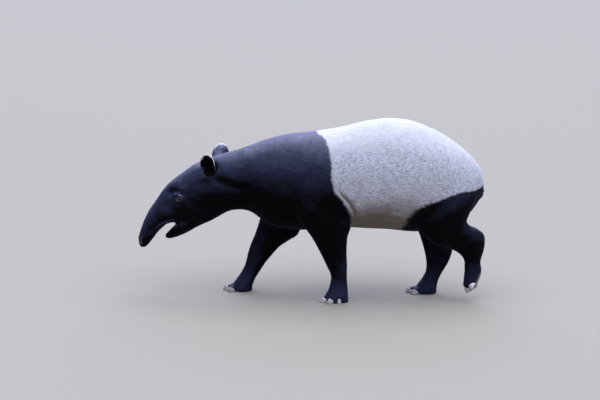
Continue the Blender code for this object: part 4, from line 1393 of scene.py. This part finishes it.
SHEEN_PAINT, LIGHT_AND_SHADE_PAINT = sheen_paint_group(), light_and_shade_group()
print("groups:", SHEEN_PAINT.name, LIGHT_AND_SHADE_PAINT.name)

# %% [markdown]
# Each material starts from the standard surface shader. These helpers start one, read the
# numbers that were stored on the points, and put a group into its tree.

# %% Helpers for the materials
def new_material(title):
    material = bpy.data.materials.new(title)
    material.use_nodes = True
    return material, material.node_tree, material.node_tree.nodes["Principled BSDF"]


def stored(tree, title):
    """The number that was stored on the points under a title."""
    return add_node(tree, "ShaderNodeAttribute", attribute_name=title).outputs["Fac"]


def placed(tree, group, inputs):
    return add_node(tree, "ShaderNodeGroup", inputs, node_tree=group).outputs


def between(tree, mask, low, high):
    """A mask from 0 to 1 as a number from low to high."""
    inputs = {"Value": mask, "To Min": low, "To Max": high}
    return add_node(tree, "ShaderNodeMapRange", inputs).outputs["Result"]


def with_sheen_paint(tree, base, tone):
    inputs = {"Base": base, "Tone": tone, "Upward": stored(tree, "upward")}
    return placed(tree, SHEEN_PAINT, inputs)["Colour"]


def with_light_and_shade_paint(tree, base):
    inputs = {"Base": base, "Upward": stored(tree, "upward"), "Sheltered": stored(tree, "sheltered")}
    return placed(tree, LIGHT_AND_SHADE_PAINT, inputs)["Colour"]


def sky_gloss(tree):
    return fitted(tree, stored(tree, "upward"), 0.25, 0.90)


print("groups ready:", [group.name for group in bpy.data.node_groups])

# %% [markdown]
# The tufts differ a little from each other, by a random shade that each one carries. Black
# ones have a faint blue sheen, a rough gloss where they face the sky and a painted sheen in
# their colour. The ears' white edges are tufts of the same kind.

# %% Black hair
BLACK_ROOT, BLACK_TIP = (0.0008, 0.0008, 0.0011), (0.0020, 0.0020, 0.0030)
DULL_BLACK = (0.0030, 0.0028, 0.0035)
RIM_WHITE = (0.70, 0.69, 0.72)
BLACK_SURFACE = {"Coat Roughness": 0.55, "Sheen Weight": 0.10, "Sheen Roughness": 0.40,
                 "Sheen Tint": (0.50, 0.55, 1.0, 1.0), "Specular IOR Level": 0.05}


def black_hair():
    material, tree, shader = new_material("black_hair")
    masks = placed(tree, GRAIN, {"Streaks": 260.0, "Blotches": 9.0})
    tone = fitted(tree, stored(tree, "shade"), -0.8, 0.8)
    base = colour_mix(tree, tone, BLACK_ROOT, BLACK_TIP)
    base = layered(tree, base, DULL_BLACK, masks["Blotch"], 0.35, 0.75, 0.45)
    # Painted sheen where the coat faces the sky
    base = with_sheen_paint(tree, base, tone)
    base = colour_mix(tree, stored(tree, "rim"), base, RIM_WHITE)
    feed(tree, shader, {"Base Color": base, "Roughness": between(tree, masks["Streak"], 0.50, 0.66),
                        "Coat Weight": sky_gloss(tree), **BLACK_SURFACE})
    return material


def cover(pieces, material):
    """Give all the pieces one material in place of any they had."""
    for piece in pieces:
        piece.data.materials.clear()
        piece.data.materials.append(material)
    print(material.name, "on", len(pieces), "pieces")


cover(coat["black"], black_hair())

# %% [markdown]
# Pale hair is finely flecked with grey, as some hairs are dark or in the shade of others, and
# it is dustier in patches. Its gloss is faint and even. A painted highlight whitens it along
# the back, and painted shade darkens it under the belly and in the folds.

# %% Pale hair
PALE_ROOT, PALE_TIP = (0.540, 0.545, 0.655), (0.835, 0.840, 0.970)
STREAK_GREY, FLECK_GREY, PATCH_GREY = (0.20, 0.20, 0.24), (0.20, 0.20, 0.25), (0.50, 0.49, 0.50)


def pale_hair():
    material, tree, shader = new_material("pale_hair")
    masks = placed(tree, GRAIN, {"Streaks": 300.0, "Blotches": 9.0})
    shade_of_tuft = stored(tree, "shade")
    base = colour_mix(tree, fitted(tree, shade_of_tuft, -0.9, 0.6), PALE_ROOT, PALE_TIP)
    base = layered(tree, base, STREAK_GREY, masks["Streak"], 0.5, 0.0, 0.35)
    base = layered(tree, base, FLECK_GREY, shade_of_tuft, -0.40, -0.70, 0.80)
    base = layered(tree, base, PATCH_GREY, masks["Blotch"], 0.5, 0.8, 0.30)
    # Painted highlight on top, painted shade under the belly and in the folds
    feed(tree, shader, {"Base Color": with_light_and_shade_paint(tree, base),
                        "Roughness": between(tree, masks["Streak"], 0.55, 0.75),
                        "Sheen Weight": 0.10, "Sheen Roughness": 0.5, "Specular IOR Level": 0.25})
    return material


cover(coat["pale"], pale_hair())

# %% [markdown]
# The skin shows between the tufts and at the bare places. It carries the same black and pale
# fields, in streaks, with the same painted sheen, highlight and shade. The lids' edges are
# wet, with a greyer ring of skin round them, the nostrils' rims are pink, the ears' upper
# edges white and their cups dark with painted shade.

# %% The skin's finish
PALE_SKIN = (0.22, 0.22, 0.26), (0.60, 0.60, 0.68)
NOSTRIL_PINK = (0.17, 0.105, 0.105)
RECESS_SHADE = (0.0014, 0.0011, 0.0013)
LID_GREY = (0.105, 0.105, 0.140)
WET_DARK = (0.006, 0.005, 0.006)
WET_ROUGHNESS = (0.18, 0.18, 0.18)


def bumped(tree, height, strength, distance):
    inputs = {"Height": height, "Strength": strength, "Distance": distance}
    return add_node(tree, "ShaderNodeBump", inputs).outputs["Normal"]


def hide():
    material, tree, shader = new_material("hide")
    masks = placed(tree, GRAIN, {"Streaks": 240.0, "Blotches": 9.0})
    tone = masks["Streak"]
    # Painted sheen on the black skin, painted highlight and shade on the pale skin
    black = with_sheen_paint(tree, colour_mix(tree, tone, BLACK_ROOT, BLACK_TIP), tone)
    pale = with_light_and_shade_paint(tree, colour_mix(tree, tone, *PALE_SKIN))
    base = colour_mix(tree, stored(tree, "pale"), black, pale)
    base = layered(tree, base, NOSTRIL_PINK, stored(tree, "pink"), 0.2, 1.0, 0.7)
    base = colour_mix(tree, stored(tree, "rim"), base, RIM_WHITE)
    # Painted shade deep in the ears' cups and the nostrils
    base = colour_mix(tree, stored(tree, "inner"), base, RECESS_SHADE)
    base = layered(tree, base, LID_GREY, stored(tree, "lid"), 0.0, 1.0, 0.85)
    base = layered(tree, base, WET_DARK, stored(tree, "wet"), 0.3, 1.0, 0.9)
    rough = colour_mix(tree, stored(tree, "wet"), between(tree, tone, 0.52, 0.68), WET_ROUGHNESS)
    feed(tree, shader, {"Base Color": base, "Roughness": rough, "Coat Weight": sky_gloss(tree),
                        "Normal": bumped(tree, masks["Height"], 0.5, 0.0012), **BLACK_SURFACE})
    return material


cover([skin], hide())
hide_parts(*FLESH)
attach(skin, "root")
print("skin stands for", len(FLESH), "solids")

# %% [markdown]
# Horn grows down from a pale band and is darker below it, scuffed in patches and dirty at the
# ground. The eye is dark brown round a black pupil and nearly black beyond the iris. It is
# glossy, with half a clear coat for its film of tears.

# %% Horn and eye
BAND_PALE = (0.84, 0.80, 0.88)
HORN_DARK, HORN_LIGHT = (0.110, 0.082, 0.076), (0.240, 0.190, 0.175)
GROUND_DIRT, SCUFFED = (0.085, 0.070, 0.060), (0.12, 0.105, 0.10)
PUPIL, IRIS, EYE_WHITE = (0.002, 0.002, 0.002), (0.014, 0.007, 0.004), (0.014, 0.011, 0.011)


def horn():
    material, tree, shader = new_material("hoof_horn")
    masks = placed(tree, GRAIN, {"Streaks": 420.0, "Blotches": 60.0})
    wall = colour_mix(tree, masks["Streak"], HORN_DARK, HORN_LIGHT)
    below_band = fitted(tree, stored(tree, "from_band"), 0.002, 0.010)
    base = colour_mix(tree, below_band, BAND_PALE, wall)
    base = layered(tree, base, GROUND_DIRT, stored(tree, "above_ground"), 0.010, 0.000, 0.7)
    base = layered(tree, base, SCUFFED, masks["Blotch"], 0.45, 0.7, 0.5)
    rough = add_node(tree, "ShaderNodeMapRange", {
        "Value": masks["Blotch"], "From Min": 0.3, "From Max": 0.8, "To Min": 0.38, "To Max": 0.62})
    feed(tree, shader, {"Base Color": base, "Roughness": rough.outputs["Result"],
                        "Normal": bumped(tree, masks["Height"], 0.35, 0.0006)})
    return material


def wet_eye():
    material, tree, shader = new_material("wet_eye")
    angle = stored(tree, "from_axis")
    base = colour_mix(tree, fitted(tree, angle, 12.0, 15.0), PUPIL, IRIS)
    base = layered(tree, base, EYE_WHITE, angle, 36.0, 41.0)
    feed(tree, shader, {"Base Color": base, "Roughness": 0.12, "Specular IOR Level": 0.15,
                        "Coat Weight": 0.5, "Coat IOR": 1.38, "Coat Roughness": 0.03})
    return material


cover(hooves, horn())
cover(eyeballs, wet_eye())

# %% [markdown]
# ## Floor, light and camera
#
# The floor is plain, pale and large enough to fill every view. The light is an open sky: a
# very wide soft lamp overhead and slightly cool, a weaker and bluer one from behind the
# animal, and a faint glow from all round. That leaves the back bright and the belly dark.

# %% Floor and light
FLOOR_HALF = 700.0
FLOOR_COLOUR = (0.33, 0.302, 0.255, 1.0)
SKY_GLOW = (0.72, 0.80, 1.0, 1.0)

bm = bmesh.new()
bmesh.ops.create_grid(bm, x_segments=2, y_segments=2, size=FLOOR_HALF)
floor = added("floor", mesh_from(bm, "floor"))
pale_floor, floor_tree, floor_shader = new_material("pale_floor")
feed(floor_tree, floor_shader, {"Base Color": FLOOR_COLOUR, "Roughness": 0.9})
floor.data.materials.append(pale_floor)

world = bpy.data.worlds.new("soft_sky")
bpy.context.scene.world = world
world.use_nodes = True
glow = world.node_tree.nodes["Background"]
feed(world.node_tree, glow, {"Color": SKY_GLOW, "Strength": 0.15})


def soft_sky(title, tilt, spread, strength, colour):
    """A lamp without a place, as wide as a part of the sky."""
    lamp = bpy.data.lights.new(title, "SUN")
    lamp.energy = strength
    lamp.angle = math.radians(spread)
    lamp.color = colour
    added(title, lamp).rotation_euler = [math.radians(angle) for angle in tilt]


soft_sky("sky_overhead", (12, 8, 0), 92, 5.0, (0.80, 0.85, 1.0))
soft_sky("sky_behind", (-48, 0, 0), 55, 2.0, (0.62, 0.72, 1.0))
print("floor", FLOOR_HALF * 2, "across")

# %% [markdown]
# The camera stands well back and a little above the animal, level with its flank, as in the
# photo, with a long lens, so that near and far legs keep their true sizes.

# %% The camera
VIEW_ANGLE = math.radians(9.0)
VIEW_DISTANCE = 7.5
VIEW_LENS = 78.75
AIM = Vector((-0.0556, 0.0, 0.5648))

camera_data = bpy.data.cameras.new("camera")
camera_data.lens = VIEW_LENS
camera_data.sensor_width = 36.0
camera = added("camera", camera_data)
back_off = Vector((0.0, -math.cos(VIEW_ANGLE), math.sin(VIEW_ANGLE))) * VIEW_DISTANCE
camera.location = AIM + back_off
camera.rotation_euler = (-back_off).to_track_quat("-Z", "Y").to_euler()
bpy.context.scene.camera = camera
bpy.context.scene.view_settings.view_transform = "Standard"
print("camera at", [round(value, 3) for value in camera.location])
